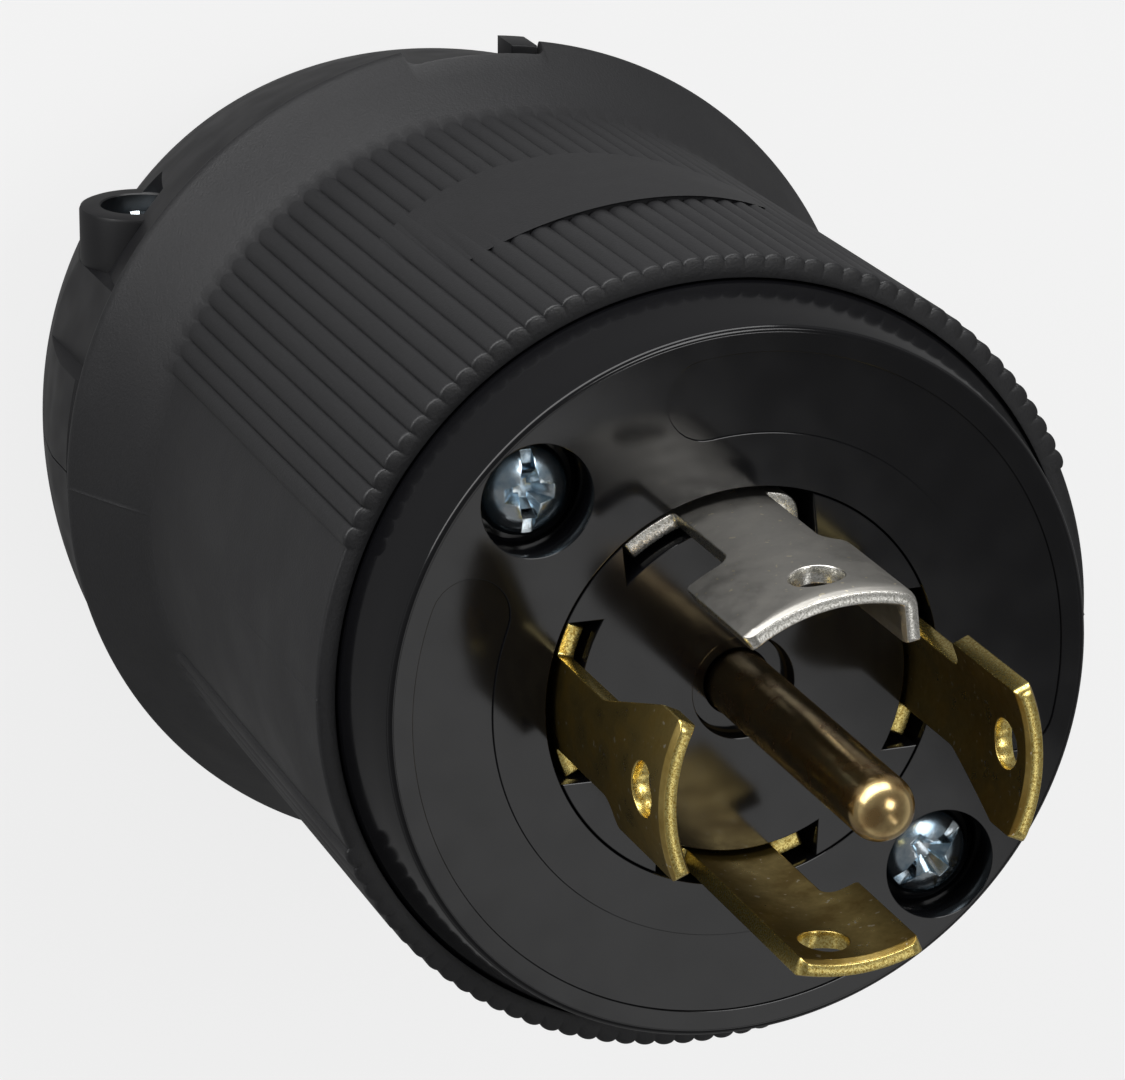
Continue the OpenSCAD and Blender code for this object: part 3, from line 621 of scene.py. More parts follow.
@dataclass
class GripSleeve:
    """The ribbed, waisted sleeve with its flared collar, moulded in one piece."""

    levels: Levels
    pitch_deg: float = 3.0
    steps_per_rib: int = 16
    rib_side_deg: float = 67.5
    rib_height: float = 0.46
    front_r: float = 29.65
    waist_r: float = 29.05
    waist_z: float = 38.2
    collar_r: float = 32.85
    bore_r: float = 27.9
    parting_rise: float = 0.07
    window_half: float = 5.4
    window_top: float = 31.25
    window_corner: float = 0.8

    def crest(self, z: np.ndarray | float) -> np.ndarray | float:
        """Radius over the ribs at a height."""
        return self.waist_r + (self.front_r - self.waist_r) * (z - self.waist_z) / (self.levels.rim - self.waist_z)

    def rib_profile(self, degrees: np.ndarray) -> np.ndarray:
        """Height of the barrel over the rib valleys, from 0 to 1 on a crest."""
        side = (degrees + 90) % 180 - 90
        across = side / self.pitch_deg
        u = across - np.round(across)
        # Round crests that meet in narrow valleys
        rib = np.sqrt(np.clip(1 - (1.9 * u) ** 2, 0, 1))
        return np.where(np.abs(side) < self.rib_side_deg, rib, 0.12)

    def window_edge(self, degrees: np.ndarray) -> tuple[np.ndarray, np.ndarray]:
        """Which columns lie in a rear notch, and the notch's height at each."""
        across = np.abs(31.5 * np.sin(np.radians((degrees + 90) % 180 - 90)))
        inside = across < self.window_half
        into = np.clip(across - (self.window_half - self.window_corner), 0, self.window_corner)
        drop = self.window_corner - np.sqrt(self.window_corner**2 - into**2)
        return inside, self.window_top - drop

    def columns(self) -> np.ndarray:
        """One closed profile for each angle, from the front bore over the ribs and back inside."""
        count = int(360 / self.pitch_deg) * self.steps_per_rib
        degrees = np.arange(count) * 360 / count
        h = self.rib_profile(degrees)
        rim, rear = self.levels.rim, self.levels.flange
        seam = np.abs((degrees + 0.4) % 180 - 90)
        flash = self.parting_rise * np.exp(-((seam / 0.14) ** 2))
        cone_slope = (self.collar_r - 0.15 - (self.waist_r - 0.35)) / (self.waist_z + 0.3 - rear - 0.9)
        ones = np.ones(count)
        rows: list[tuple[np.ndarray, np.ndarray]] = []

        def row(r: np.ndarray | float, z: np.ndarray | float) -> None:
            rows.append((ones * r, ones * z))

        def barrel(z: float | np.ndarray) -> np.ndarray:
            return self.crest(z) - self.rib_height * (1 - h)

        def cone(z: float | np.ndarray) -> np.ndarray:
            return self.waist_r - 0.35 + cone_slope * (self.waist_z + 0.3 - z)

        # Height at which each column meets the collar's cone
        taper = (self.front_r - self.waist_r) / (rim - self.waist_z)
        foot = (cone_slope * (self.waist_z + 0.3) - 0.35 + self.rib_height * (1 - h) + taper * self.waist_z) / (taper + cone_slope)
        bore = self.bore_r
        for r, z in [(bore, 72.0), (bore, rim - 0.1), (bore + 0.03, rim - 0.03), (bore + 0.12, rim), (bore + 0.7, rim)]:
            row(r, z)
        # The ribs run out through the front edge, which is rounded over them
        front = barrel(rim - 0.3)
        low = 0.06 * (1 - h)
        for inset, drop in [(0.28, 0.0), (0.12, 0.05), (0.03, 0.15), (0.0, 0.3)]:
            row(front - inset + flash, rim - drop - low)
        for z in (rim - 0.6, rim - 8.0, rim - 16.0, 56.0, 48.0, 42.0):
            row(barrel(z) + flash * float(np.clip((z - 56) / 12, 0, 1)), z)
        row(barrel(foot + 0.25), foot + 0.25)
        row(cone(foot - 0.2) - 0.01, foot - 0.2)
        inside, top = self.window_edge(degrees)
        for share in (0.15, 0.4, 0.7):
            z = foot + (np.where(inside, top + 0.3, rear + 1.0) - foot) * share
            row(cone(z) + flash * 1.2, z)
        # Flange edge outside the notches; the notches' edge and roof inside them
        lip = self.collar_r
        outer = [(lip - 0.21, rear + 0.98), (lip - 0.07, rear + 0.72), (lip, rear + 0.42), (lip - 0.03, rear + 0.2), (lip - 0.14, rear + 0.05), (lip - 0.35, rear), (lip - 2.0, rear), (28.5, rear), (26.25, rear), (26.1, rear + 0.15)]
        roof = [(-0.12, 0.22), (-0.03, 0.1), (-0.05, 0.02), (-0.2, 0.0), (-0.8, 0.0), (-1.6, 0.0), (-2.8, 0.0), (-4.2, 0.0), (-6.0, 0.0), (-6.2, 0.0)]
        for (ro, zo), (dr, dz) in zip(outer, roof):
            row(np.where(inside, np.maximum(cone(top) + dr, 26.1), ro + flash), np.where(inside, top + dz, zo))
        for r, z in [(26.1, 31.4), (28.2, 31.5), (28.2, 34.5), (25.3, 35.5), (25.3, 69.8), (bore, 69.8)]:
            row(r, z)
        r = np.stack([a for a, _ in rows], 1)
        z = np.stack([b for _, b in rows], 1)
        a = np.radians(degrees)[:, None]
        return np.stack([r * np.cos(a), r * np.sin(a), z], -1)

    def build_barrel(self) -> bpy.types.Object:
        """Skins the columns into the sleeve."""
        piece = ring_mesh("grip_sleeve_skin", self.columns(), True)
        weld(piece, 0.0001)
        smooth(piece, 42)
        return piece

    def build_pad(self) -> bpy.types.Object:
        """Makes the smooth crowned pad among the ribs."""
        half, edge_r, shift, blunt = 7.1, 36.0, 6.0, 15.7
        top = [(x, math.sqrt(edge_r**2 - (x - shift) ** 2) - edge_r + half) for x in np.linspace(blunt, -16.0, 40)]
        nose_y = top[-1][1]
        nose = [(-16.25, nose_y * 0.5), (-16.33, 0.0), (-16.25, -nose_y * 0.5)]
        bottom = [(x, -y) for x, y in reversed(top)]
        piece = plate("grip_sleeve_pad", [top + nose + bottom], 2.0, 0.22, 3)
        slice_along(piece, 0, np.arange(-16, 15.6, 0.6).tolist())
        remap(
            piece,
            lambda p: np.stack([4.0 + np.sqrt(25.7**2 - p[:, 0] ** 2) + p[:, 2], p[:, 0], 59.4 + p[:, 1]], 1),
        )
        weld(piece)
        smooth(piece, 40)
        return piece

    def build(self) -> None:
        """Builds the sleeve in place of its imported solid."""
        hand_over(self.build_barrel(), [Finish.SLEEVE], ["grip_sleeve"])
        hand_over(self.build_pad(), [Finish.SLEEVE])


@dataclass
class ContactFace:
    """The front insulator: glossy face, tapered rim, blade slots and screw wells."""

    levels: Levels
    hub_r: float = 14.66
    slot_r: float = 12.22
    groove: float = 0.12
    panel_depth: float = 0.16
    screw_circle_r: float = 21.7
    screw_angle: float = 45.0
    well_r: float = 4.1
    well_depth: float = 4.0
    flat_r: float = 25.86
    crown_r: float = 0.42

    def rim_profile(self) -> Loop:
        """Section of the outer wall, from the face's edge over the crown to the back."""
        face, back = self.levels.face, self.levels.carrier_back
        crown = arc((self.flat_r + 0.02, face - self.crown_r - 0.01), self.crown_r, 96, 14, 10)
        return (
            [(self.flat_r - 0.05, back), (self.flat_r - 0.05, face - 0.12)]
            + crown
            + [(26.72, 85.6), (27.1, 84.0), (27.5, 82.4), (27.72, 81.45), (27.78, 81.1), (27.8, back + 0.5), (27.3, back)]
        )

    def panel(self, start: float, end: float) -> Loop:
        """Outline of a shallow curved panel with round ends."""
        low, high = 18.6, 24.4
        mid, half = (low + high) / 2, (high - low) / 2
        a, b = math.radians(start), math.radians(end)
        first = (mid * math.cos(a), mid * math.sin(a))
        last = (mid * math.cos(b), mid * math.sin(b))
        return (
            arc((0, 0), high, start, end, 96)
            + arc(last, half, end, end + 180, 14)[1:-1]
            + arc((0, 0), low, end, start, 96)
            + arc(first, half, start + 180, start + 360, 14)[1:-1]
        )

    def slot_notch(self, angle: float, lead: float, trail: float, leg: float | None = None) -> Loop:
        """Points that take the hub's outline in and out round one blade slot."""
        r, out = self.slot_r, self.hub_r - self.groove / 2
        reach = lambda y, radius: math.sqrt(radius**2 - y**2)
        start, end = math.degrees(math.asin(-trail / r)), math.degrees(math.asin(lead / r))
        inner = arc((0, 0), r, start, end, 14)
        if leg is not None:
            y = -trail + 2.0
            inner = [(leg, -trail), (leg, y), (reach(y, r), y)] + [p for p in inner if p[1] > y + 0.05]
        notch = [(reach(trail, out), -trail)] + inner + [(reach(lead, out), lead)]
        return [turned(p, angle) for p in notch]

    def hub_outline(self) -> Loop:
        """The hub's circle, notched by the four slots, with its recess left to a second loop."""
        out = self.hub_r - self.groove / 2
        slots = [(6.5, 7.75, 6.55, 8.7), (89.5, 5.75, 6.1, None), (177.5, 6.3, 5.85, None), (270.5, 5.75, 6.1, None)]
        outline: Loop = []
        for i, (angle, lead, trail, leg) in enumerate(slots):
            notch = self.slot_notch(angle, lead, trail, leg)
            outline += notch
            nxt = slots[(i + 1) % len(slots)]
            a = angle + math.degrees(math.asin(lead / out))
            b = nxt[0] - math.degrees(math.asin(nxt[2] / out)) + (360 if i == len(slots) - 1 else 0)
            outline += arc((0, 0), out, a, b, 24)[1:-1]
        return outline

    def build(self) -> None:
        """Builds the rim, the face with its panels and wells, the hub and the pin's recess."""
        face, back = self.levels.face, self.levels.carrier_back
        rim = lathe("carrier_rim", self.rim_profile(), 384)
        smooth(rim, 30)
        hand_over(rim, [Finish.FACE], ["contact_carrier"])

        wells = [turned((self.screw_circle_r, 0), self.screw_angle + side) for side in (0, 180)]
        panels = [self.panel(-102.0, 8.0), self.panel(70.0, 202.0)]
        circle = lambda centre, r, n: arc(centre, r, 0, 360, n)[:-1]
        top = plate(
            "carrier_face",
            [circle((0, 0), self.flat_r, 256), circle((0, 0), self.hub_r + self.groove / 2, 180), *panels]
            + [circle(c, self.well_r, 64) for c in wells],
            self.well_depth + 0.1, 0.055, 2,
        )
        lift(top, (0, 0, face))
        smooth(top, 30)
        hand_over(top, [Finish.FACE])
        for i, outline in enumerate(panels):
            floor = plate(f"carrier_panel_{i}", [outline], 1.0, 0.02, 1)
            lift(floor, (0, 0, face - self.panel_depth))
            hand_over(floor, [Finish.FACE])
        for i, (x, y) in enumerate(wells):
            low = face - self.well_depth
            seat = lathe(f"carrier_well_{i}", [(2.2, low - 1), (2.2, low), (self.well_r - 0.2, low), (self.well_r, low + 0.15), (self.well_r + 0.05, low - 1)], 64)
            smooth(seat, 30)
            hand_over(lift(seat, (x, y, 0)), [Finish.FACE])

        hub = plate("carrier_hub", [self.hub_outline(), circle((0, 0), 3.8, 64)], face - back - 0.2, 0.07, 2)
        lift(hub, (0, 0, face))
        smooth(hub, 30)
        hand_over(hub, [Finish.FACE])
        floor = face - 1.3
        collar = lathe("carrier_pin_recess", [(2.42, floor - 6), (2.42, floor - 0.1), (2.52, floor), (3.6, floor), (3.79, floor + 0.12), (3.86, floor + 0.3), (3.86, floor - 6)], 96)
        smooth(collar, 30)
        hand_over(collar, [Finish.FACE])


@dataclass
class Blade:
    """One blade: blanked from sheet, then curved round the plug's axis."""

    node: str
    angle: float
    lead: float
    trail: float
    ramp: bool
    levels: Levels
    metal: Finish = Finish.BRASS
    edge_metal: Finish = Finish.BRASS_EDGE
    slot: str = "brass"
    mid_r: float = 13.3
    thickness: float = 1.3
    stem: float = 3.27
    hook_z: float = 9.5
    shoulder_drop: float = 1.2
    shoulder_lead: float = 5.7
    shoulder_trail: float = 5.7
    leg: float = 0.0
    hole_d: float = 3.7
    hole_z: float = 16.7
    edge: float = 0.09

    def outline(self) -> Loop:
        """Blank's outline: across the sheet from the stem's middle, and height over the face."""
        reach = self.levels.blade_tip - self.levels.face
        back = self.levels.carrier_back - self.levels.face + 0.2
        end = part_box(self.node)[0].z / MM - self.levels.face
        tip_trail = self.trail + self.leg
        corners = [
            (-3.4, end, 0.4), (3.4, end, 0.4), (3.4, back, 0), (self.shoulder_lead + 1.3, back, 0.3),
            (self.shoulder_lead + 1.3, back + 5.6, 0.3), (self.shoulder_lead, back + 5.6, 0),
            (self.shoulder_lead, -self.shoulder_drop, 0.25), (self.stem, -self.shoulder_drop, 0.3),
            (self.stem, self.hook_z, 1.1), (self.lead, self.hook_z, 0.35), (self.lead, reach, 0.75),
        ]
        if self.leg:
            corners += [(-tip_trail, reach, 0.3), (-tip_trail, self.hook_z, 0.3), (-self.stem, self.hook_z, 1.1)]
        elif self.ramp:
            corners += [(-self.trail, reach, 0.75), (-self.trail, 17.0, 1.5), (-self.stem, self.hook_z - 1.2, 3.0)]
        else:
            corners += [(-self.stem, reach, 0.75)]
        corners += [
            (-self.stem, -self.shoulder_drop, 0.3), (-self.shoulder_trail - self.leg, -self.shoulder_drop, 0.25),
            (-self.shoulder_trail - self.leg, back, 0.2), (-3.4, back, 0),
        ]
        return rounded(corners)

    def bend(self, p: np.ndarray) -> np.ndarray:
        """Rolls the flat blank round the axis, with the neutral's leg bent inwards."""
        s, v, w = p[:, 0], p[:, 1], p[:, 2] + self.thickness / 2
        reach = self.levels.blade_tip - self.levels.face
        # The tip's long edges are coined to a taper
        taper = np.clip((v - (reach - 0.55)) / 0.55, 0, 1)
        w = w * (1 - taper * 0.36)
        r = self.mid_r + w
        a = s / self.mid_r
        x, y = r * np.cos(a), r * np.sin(a)
        if self.leg:
            bend_r, start = 1.0, math.radians(-19.5)
            turn = math.radians(90) + start
            s0 = start * self.mid_r
            s1 = s0 - bend_r * turn
            cx, cy = (self.mid_r - bend_r) * math.cos(start), (self.mid_r - bend_r) * math.sin(start)
            b = start - np.clip((s0 - s) / bend_r, 0, turn)
            bx, by = cx + (bend_r + w) * np.cos(b), cy + (bend_r + w) * np.sin(b)
            lx = cx - (s1 - s)
            ly = np.full_like(s, cy) - (bend_r + w)
            x = np.where(s < s1, lx, np.where(s < s0, bx, x))
            y = np.where(s < s1, ly, np.where(s < s0, by, y))
        return np.stack([x, y, v + self.levels.face], 1)

    def build(self) -> None:
        """Blanks, slices, bends and dresses the blade."""
        holes = [arc((0, self.hole_z), self.hole_d / 2, 0, 360, 40)[:-1], arc((0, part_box(self.node)[0].z / MM + 6.0 - self.levels.face), 1.8, 0, 360, 24)[:-1]]
        piece = plate(f"{self.node}_stamped", [self.outline(), *holes], self.thickness, self.edge, 2)
        slice_along(piece, 0, np.arange(-9.0, 9.0, 0.3).tolist())
        slice_along(piece, 1, [self.levels.blade_tip - self.levels.face - 0.55])
        # Faces whose blank normal lies in the sheet are its sheared edges, which take the edge finish with its painted
        # highlight
        sheared = [abs(f.normal.z) < 0.9 for f in piece.data.polygons]
        piece.data.polygons.foreach_set("material_index", [int(e) for e in sheared])
        remap(piece, self.bend)
        piece.data.transform(Matrix.Rotation(math.radians(self.angle), 4, "Z"))
        keep = [f.material_index for f in piece.data.polygons]
        smooth(piece, 50)
        piece.data.polygons.foreach_set("material_index", keep)
        hand_over(piece, [self.metal, self.edge_metal], [self.node])
        piece.data.polygons.foreach_set("material_index", keep)


@dataclass
class GroundPin:
    """The round ground pin with its ball end."""

    levels: Levels
    diameter: float = 4.75

    def build(self) -> None:
        """Turns the pin and its collar."""
        r, tip, back = self.diameter / 2, self.levels.pin_tip, self.levels.carrier_back
        nose = arc((0, tip - r), r, 0, 90, 20)
        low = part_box("ground_pin")[0].z / MM
        pin = lathe(
            "ground_pin_turned",
            [(0, low), (2.7, low), (2.9, low + 0.3), (2.9, low + 1.1), (2.0, low + 1.1), (2.0, back + 0.2), (4.0, back + 0.2), (4.0, back + 5.2), (r - 0.04, back + 5.2), (r - 0.04, self.levels.face - 1.0), (r, self.levels.face - 0.9)] + nose,
            96,
        )
        smooth(pin, 35)
        hand_over(pin, [Finish.PIN], ["ground_pin"])


@dataclass
class CordClamp:
    """The two-piece cord clamp: a domed cap split down its middle, with bosses for its screws."""

    split_gap: float = 0.12
    dome_r: float = 30.2
    dome_top: float = 29.0
    flank_r: float = 68.0
    corner_r: float = 7.0
    cheek_rise: float = 1.95
    cheek_top: float = 25.5
    limit_r: float = 31.7
    screw_y: float = 22.5
    screw_z: float = 15.0
    boss_r: float = 4.75

    def flank(self, rise: float, top: float) -> Loop:
        """Outer section from the flat rear end round the corner and up the flank."""
        x = self.dome_r - self.flank_r + rise
        centre = x + math.sqrt((self.flank_r - self.corner_r) ** 2 - (self.dome_top - self.corner_r) ** 2)
        meet = math.degrees(math.atan2(self.dome_top - self.corner_r, centre - x))
        last = math.degrees(math.asin((self.dome_top - top) / self.flank_r))
        return arc((centre, self.corner_r), self.corner_r, -90, -meet, 14) + arc((x, self.dome_top), self.flank_r, -meet, -last, 20)[1:]

    def body_profile(self) -> Loop:
        """Whole section of a half: dome, neck, bead, chamber, seal groove, ridges and mouth."""
        ridges: Loop = []
        for z in (7.0, 4.8, 2.6):
            ridges += [(11.0, z + 0.9), (10.1, z + 0.75), (10.1, z + 0.15), (11.0, z)]
        return (
            [(13.0, 0.0)]
            + self.flank(0.0, self.dome_top - 0.3)
            + [(self.dome_r - 0.1, self.dome_top - 0.1), (self.dome_r - 0.3, self.dome_top), (25.8, self.dome_top), (25.8, 31.7), (27.9, 31.7), (27.9, 34.2)]
            + [(22.6, 34.2), (22.6, 28.0), (21.0, 28.0), (21.0, 26.6), (23.6, 26.6), (23.6, 24.4), (21.0, 24.4), (21.0, 16.0), (11.0, 8.2)]
            + ridges
            + [(11.0, 2.0)]
        )

    def cheek(self, half: float, flank: bool) -> bpy.types.Object:
        """Thickened cheeks at both ends of the screws, cut to their plan outline."""
        shell = [(r if r < self.limit_r else self.limit_r, z) for r, z in self.flank(self.cheek_rise, self.cheek_top - 0.25)]
        piece = lathe("cheek", [(20.0, 0.0), *shell, (self.limit_r - 0.25, self.cheek_top), (20.0, self.cheek_top)], 256)
        side = [(half, 29.3), (13.6, self.screw_y + self.boss_r), (13.6, 0.0)] if flank else [(half, 0.0)]
        prisms = []
        for sign in (1, -1):
            outline = [(-1.0, sign * 5.0), (-1.0, sign * 60.0), (half, sign * 60.0)] + [(x, sign * max(y, 5.0)) for x, y in side]
            prisms.append(lift(plate("prism", [outline], 60.0, 0.01, 1), (0, 0, 50.0)))
        combine(prisms[0], Combine.JOIN, [prisms[1]])
        combine(piece, Combine.KEEP, [prisms[0]])
        return piece

    def across(self, profile: Loop, segments: int, y: float) -> bpy.types.Object:
        """Turns a profile of (radius, x) into a piece along a clamp screw's axis."""
        piece = lathe("across", profile, segments)
        piece.data.transform(Matrix.Rotation(math.radians(90), 4, "Y"))
        return lift(piece, (0, y, self.screw_z))

    def half(self, name: str, boss_end: float, cheek_half: float, flank: bool) -> bpy.types.Object:
        """Builds the half on the +X side with its cheeks and bosses, before the seats are cut."""
        piece = lathe(name, self.body_profile(), 256)
        tools = [self.cheek(cheek_half, flank)]
        for y in (self.screw_y, -self.screw_y):
            r = self.boss_r
            tools.append(self.across([(0, 0.0), (r, 0.0), (r, boss_end - 0.35), (r - 0.1, boss_end - 0.1), (r - 0.35, boss_end), (0, boss_end)], 96, y))
        combine(piece, Combine.JOIN, tools)
        gone = plate("gone", [[(self.split_gap / 2, -60), (self.split_gap / 2, 60), (-60, 60), (-60, -60)]], 90.0, 0.01, 1)
        combine(piece, Combine.CUT, [lift(gone, (0, 0, 60.0))])
        return piece

    def lug(self, name: str) -> bpy.types.Object:
        """Key lug that fills one side of the sleeve's notch."""
        start, end = (math.degrees(math.asin(y / 32.6)) for y in (-5.25, -3.1))
        piece = plate(name, [arc((0, 0), 32.6, start, end, 8) + [(25.5, -3.1), (25.5, -5.25)]], 3.3, 0.12, 2)
        return lift(piece, (0, 0, 30.3))

    def build(self) -> None:
        """Builds both halves: one for the screw heads, one for the nuts."""
        heads = self.half("cord_clamp_head_half", 18.1, 7.4, True)
        seats = [self.across([(0, 15.0), (3.05, 15.0), (3.05, 18.0), (3.2, 18.15), (3.2, 20), (0, 20)], 64, y) for y in (self.screw_y, -self.screw_y)]
        combine(heads, Combine.CUT, seats)
        nuts = self.half("cord_clamp_nut_half", 14.6, 12.5, False)
        pockets = [self.across([(0, 11.5), (7.3 / math.sqrt(3), 11.5), (7.3 / math.sqrt(3), 20), (0, 20)], 6, y) for y in (self.screw_y, -self.screw_y)]
        combine(nuts, Combine.CUT, pockets)
        for piece, node, turn in ((heads, "clamp_half_a", 0), (nuts, "clamp_half_b", 180)):
            weld(piece)
            smooth(piece, 30)
            lug = self.lug(f"{piece.name}_lug")
            smooth(lug, 30)
            for part in (piece, lug):
                part.data.transform(Matrix.Rotation(math.radians(turn), 4, "Z"))
            hand_over(piece, [Finish.CLAMP], [node])
            hand_over(lug, [Finish.CLAMP])


@dataclass
class PanScrew:
    """A cold-headed pan screw with a combination cross and slot."""

    node: str
    head_r: float
    head_h: float
    shank_r: float
    shank_len: float
    seat: tuple[float, float, float]
    axis: tuple[float, float, float]
    turn: float

    def profile(self) -> Loop:
        """Half section of the screw, from the shank's end to the head's crown."""
        r, h = self.head_r, self.head_h
        crown = [(r * math.cos(a), h * 0.3 + h * 0.7 * math.sin(a)) for a in np.linspace(0, math.pi / 2, 16)]
        return [
            (0, -self.shank_len), (self.shank_r - 0.5, -self.shank_len), (self.shank_r, -self.shank_len + 0.5),
            (self.shank_r, 0), (r - 0.15, 0), (r - 0.02, 0.12),
        ] + crown

    def wedge(self, name: str, top: Loop, low: Loop, high_z: float, low_z: float) -> bpy.types.Object:
        """Tapered tool between an upper and a lower outline."""
        n = len(top)
        vertices = [(x, y, high_z) for x, y in top] + [(x, y, low_z) for x, y in low]
        faces = [list(range(n)), list(range(2 * n - 1, n - 1, -1))] + [[i, i + n, (i + 1) % n + n, (i + 1) % n] for i in range(n)]
        tool = new_object(name, np.array(vertices), faces)
        weld(tool)
        return tool

    def recess(self) -> list[bpy.types.Object]:
        """Tools that cut the slot and the tapered cross."""
        h, r = self.head_h, self.head_r

        def bar(a: float, w: float) -> Loop:
            return [(-a, -w), (a, -w), (a, w), (-a, w)]

        def cross(a: float, w: float, root: float) -> Loop:
            return [(a, -w), (a, w), (root, root), (w, a), (-w, a), (-root, root), (-a, w), (-a, -w), (-root, -root), (-w, -a), (w, -a), (root, -root)]

        slot = self.wedge("slot_tool", bar(r * 1.2, 0.58), bar(r * 1.2, 0.4), h + 0.4, h - 0.95)
        star = self.wedge("cross_tool", cross(r * 0.66, 0.6, 0.85), cross(r * 0.2, 0.28, 0.3), h + 0.3, h - 1.75)
        return [slot, star]

    def build(self) -> None:
        """Turns the screw, cuts its recess and sets it in its seat."""
        piece = lathe(f"{self.node}_headed", self.profile(), 72)
        combine(piece, Combine.CUT, self.recess())
        weld(piece)
        soften = piece.modifiers.new("soften", "BEVEL")
        soften.width = 0.09 * MM
        soften.segments = 2
        soften.limit_method = "ANGLE"
        soften.angle_limit = math.radians(38)
        apply_modifiers(piece)
        aim = Vector((0, 0, 1)).rotation_difference(Vector(self.axis)).to_matrix().to_4x4()
        piece.data.transform(Matrix.Rotation(math.radians(self.turn), 4, "Z"))
        piece.data.transform(Matrix.Translation(Vector(self.seat) * MM) @ aim)
        smooth(piece, 40)
        hand_over(piece, [Finish.ZINC], [self.node])


@dataclass
class CarriedParts:
    """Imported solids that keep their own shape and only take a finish."""

    finishes: dict[str, Finish]

    def build(self) -> None:
        """Puts each finish on its node's material slots."""
        for node, finish in self.finishes.items():
            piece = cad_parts[node]
            if not piece.data.materials:
                piece.data.materials.append(finish.material())
            for index in range(len(piece.data.materials)):
                piece.data.materials[index] = finish.material()
            LOG.info("dressed %s", node)


# ---------------------------------------------------------------- the studio


@dataclass
class Softbox:
    """A rectangular lamp aimed at a point of the plug."""

    name: str
    position: tuple[float, float, float]
    aim: tuple[float, float, float]
    size: tuple[float, float]
    power: float

    def build(self) -> None:
        """Places the lamp, unseen by the camera itself."""
        lamp = bpy.data.lights.new(self.name, "AREA")
        lamp.shape = "RECTANGLE"
        lamp.size, lamp.size_y = self.size
        lamp.energy = self.power
        holder = bpy.data.objects.new(self.name, lamp)
        holder.location = self.position
        direction = Vector(self.aim) - Vector(self.position)
        holder.rotation_euler = direction.to_track_quat("-Z", "Y").to_euler()
        holder.visible_camera = False
        bpy.context.scene.collection.objects.link(holder)
        LOG.info("lit %s", self.name)


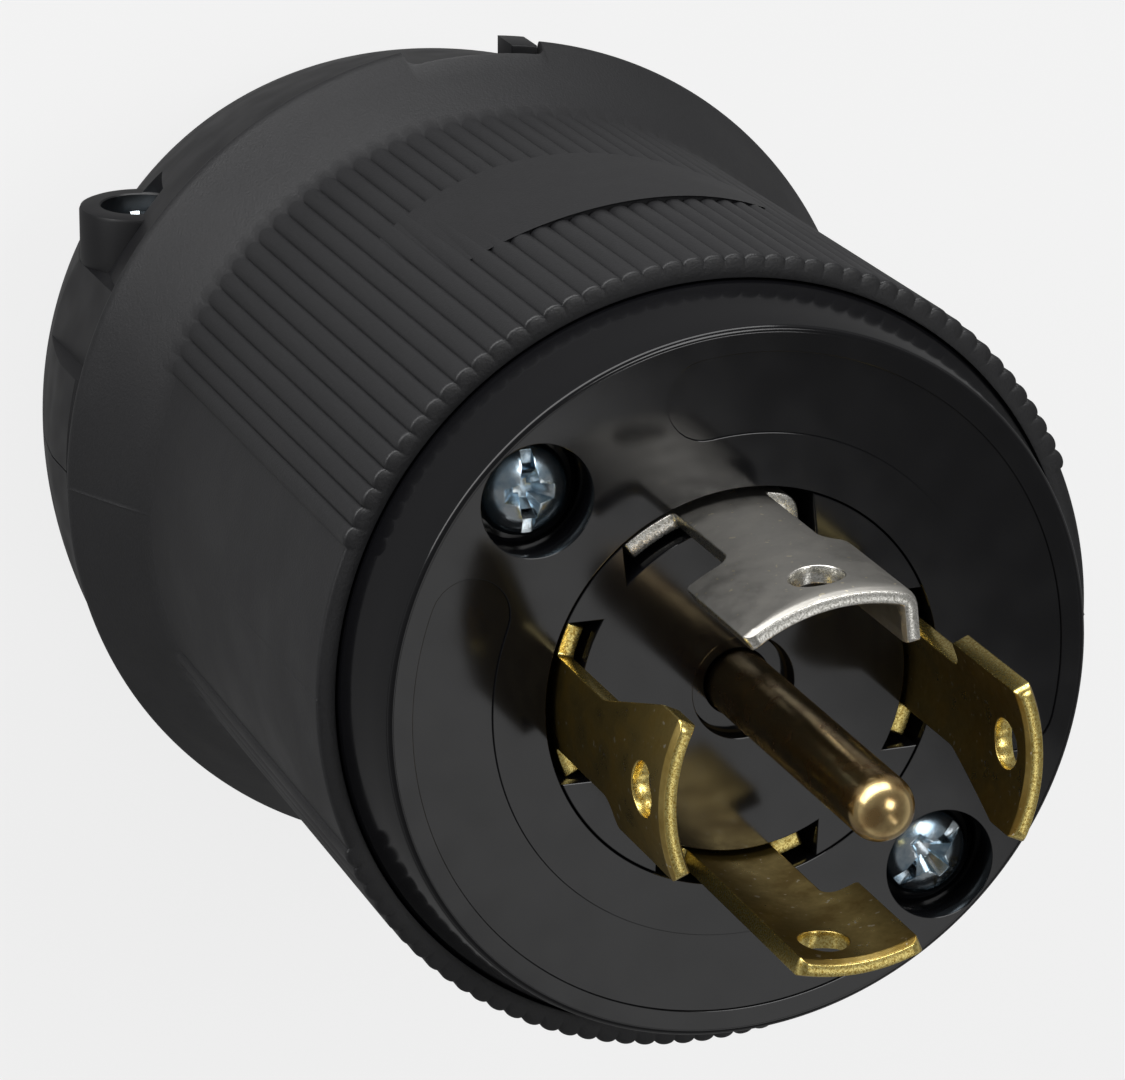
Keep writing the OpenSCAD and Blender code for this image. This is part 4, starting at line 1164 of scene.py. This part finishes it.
@dataclass
class Studio:
    """Floor, world, lamps and camera."""

    camera_at: tuple[float, float, float] = (0.1437, 0.1471, 0.4548)
    forward: tuple[float, float, float] = (-0.3189, -0.3243, -0.8906)
    up: tuple[float, float, float] = (0.9478, -0.1050, -0.3011)
    lens_mm: float = 192.0
    floor_gloss: float = 0.16

    def build_camera(self) -> None:
        """Sets the long-lens camera that looks down on the face."""
        data = bpy.data.cameras.new("camera")
        data.lens = self.lens_mm
        data.sensor_width = 36.0
        data.clip_start = 0.02
        data.clip_end = 20.0
        camera = bpy.data.objects.new("camera", data)
        back = -Vector(self.forward).normalized()
        up = (Vector(self.up) - back * back.dot(Vector(self.up))).normalized()
        right = up.cross(back)
        turn = Matrix((right, up, back)).transposed()
        camera.matrix_world = Matrix.Translation(self.camera_at) @ turn.to_4x4()
        bpy.context.scene.collection.objects.link(camera)
        bpy.context.scene.camera = camera

    def build_floor(self) -> None:
        """Lays a pale floor that shows white and still takes the plug's shadow."""
        half = 1500.0
        floor = new_object("floor", np.array([(-half, -half, 0), (half, -half, 0), (half, half, 0), (-half, half, 0)]), [(0, 1, 2, 3)])
        material = bpy.data.materials.new("painted_floor_pale")
        material.use_nodes = True
        tree = material.node_tree
        tree.nodes.clear()
        path = add(tree, "ShaderNodeLightPath")
        glossy = path.outputs["Is Glossy Ray"]
        seen = add(tree, "ShaderNodeMath", {"operation": "MAXIMUM"}, {0: path.outputs["Is Camera Ray"], 1: glossy})
        seen = add(tree, "ShaderNodeMath", {"operation": "MAXIMUM"}, {0: seen.outputs["Value"], 1: path.outputs["Is Transmission Ray"]})
        share = add(tree, "ShaderNodeMath", {"operation": "MULTIPLY"}, {0: seen.outputs["Value"], 1: 0.8})
        # Polished surfaces see the floor dimmer, as if in the plug's own shade
        level = add(tree, "ShaderNodeMath", {"operation": "MULTIPLY_ADD"}, {0: glossy, 1: self.floor_gloss - 1.0, 2: 1.0})
        paint = add(tree, "ShaderNodeBsdfDiffuse", inputs={"Color": srgb("#DADADA")})
        glow = add(tree, "ShaderNodeEmission", inputs={"Color": (1, 1, 1, 1), "Strength": level.outputs["Value"]})
        mix = add(tree, "ShaderNodeMixShader", inputs={0: share.outputs["Value"], 1: paint.outputs["BSDF"], 2: glow.outputs["Emission"]})
        add(tree, "ShaderNodeOutputMaterial", inputs={"Surface": mix.outputs["Shader"]})
        floor.data.materials.append(material)

    def build_world(self) -> None:
        """Makes a white backdrop round the horizon under a dim ceiling."""
        world = bpy.data.worlds.new("studio")
        bpy.context.scene.world = world
        world.use_nodes = True
        tree = world.node_tree
        tree.nodes.clear()
        path = add(tree, "ShaderNodeLightPath")
        coords = add(tree, "ShaderNodeTexCoord")
        height = add(tree, "ShaderNodeSeparateXYZ", inputs={"Vector": coords.outputs["Generated"]})
        sweep = ramp(tree, height.outputs["Z"], [(0.0, 0.5), (0.15, 0.4), (0.4, 0.22), (1.0, 0.16)])
        white = add(tree, "ShaderNodeMixRGB", inputs={"Fac": path.outputs["Is Camera Ray"], "Color1": sweep, "Color2": (1, 1, 1, 1)})
        background = add(tree, "ShaderNodeBackground", inputs={"Color": white.outputs["Color"], "Strength": 1.0})
        add(tree, "ShaderNodeOutputWorld", inputs={"Surface": background.outputs["Background"]})

    def build(self) -> None:
        """Builds the stage and sets the plain view transform."""
        self.build_camera()
        self.build_floor()
        self.build_world()
        for box in (
            Softbox("key_overhead", (0.25, -0.16, 0.67), (0.0, 0.0, 0.088), (0.26, 0.26), 1.15),
            Softbox("strip_overhead", (-0.235, -0.2, 0.588), (0.0, 0.0, 0.088), (0.09, 0.42), 0.14),
            Softbox("window", (0.4, 0.16, 0.13), (0.0, 0.0, 0.05), (0.95, 0.24), 3.0),
        ):
            box.build()
        bpy.context.scene.view_settings.view_transform = "Standard"


def main() -> None:
    """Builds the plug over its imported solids, then the studio."""
    logging.basicConfig(level=logging.INFO, format="%(name)s: %(message)s")
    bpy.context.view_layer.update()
    levels = Levels.from_frame()
    GripSleeve(levels).build()
    ContactFace(levels).build()
    Blade("blade_x", 89.5, 5.46, 5.92, True, levels).build()
    Blade("blade_y", 177.5, 5.9, 3.27, False, levels).build()
    Blade("blade_z", 270.5, 5.46, 5.92, True, levels).build()
    Blade(
        "blade_neutral", 6.5, 6.79, 5.76, False, levels, Finish.NICKEL, Finish.NICKEL_EDGE, "nickel",
        shoulder_lead=7.37, shoulder_trail=5.76, leg=2.4,
    ).build()
    GroundPin(levels).build()
    for name, side, slot_angle in (("assembly_screw_a", 0, 1.0), ("assembly_screw_b", 180, -50.0)):
        x, y = turned((21.7, 0), 45 + side)
        PanScrew(name, 3.4, 2.5, 2.05, 45.2, (x, y, levels.face - 3.98), (0, 0, 1), slot_angle).build()
    CordClamp().build()
    for name, y in (("clamp_screw_a", 22.5), ("clamp_screw_b", -22.5)):
        PanScrew(name, 2.85, 2.3, 2.0, 29.4, (15.02, y, 15.0), (1, 0, 0), 30).build()
    CarriedParts(
        {
            "terminal_block": Finish.BLOCK,
            "cord_seal": Finish.RUBBER,
            "ground_strap": Finish.BRASS,
            **{f"terminal_screw_{n}": Finish.ZINC for n in ("x", "y", "z", "neutral", "ground")},
            **{f"pressure_plate_{n}": Finish.ZINC for n in ("x", "y", "z", "neutral", "ground")},
            "clamp_nut_a": Finish.ZINC,
            "clamp_nut_b": Finish.ZINC,
            "assembly_insert_a": Finish.INSERT,
            "assembly_insert_b": Finish.INSERT,
        }
    ).build()
    Studio().build()


if __name__ == "__main__":
    main()
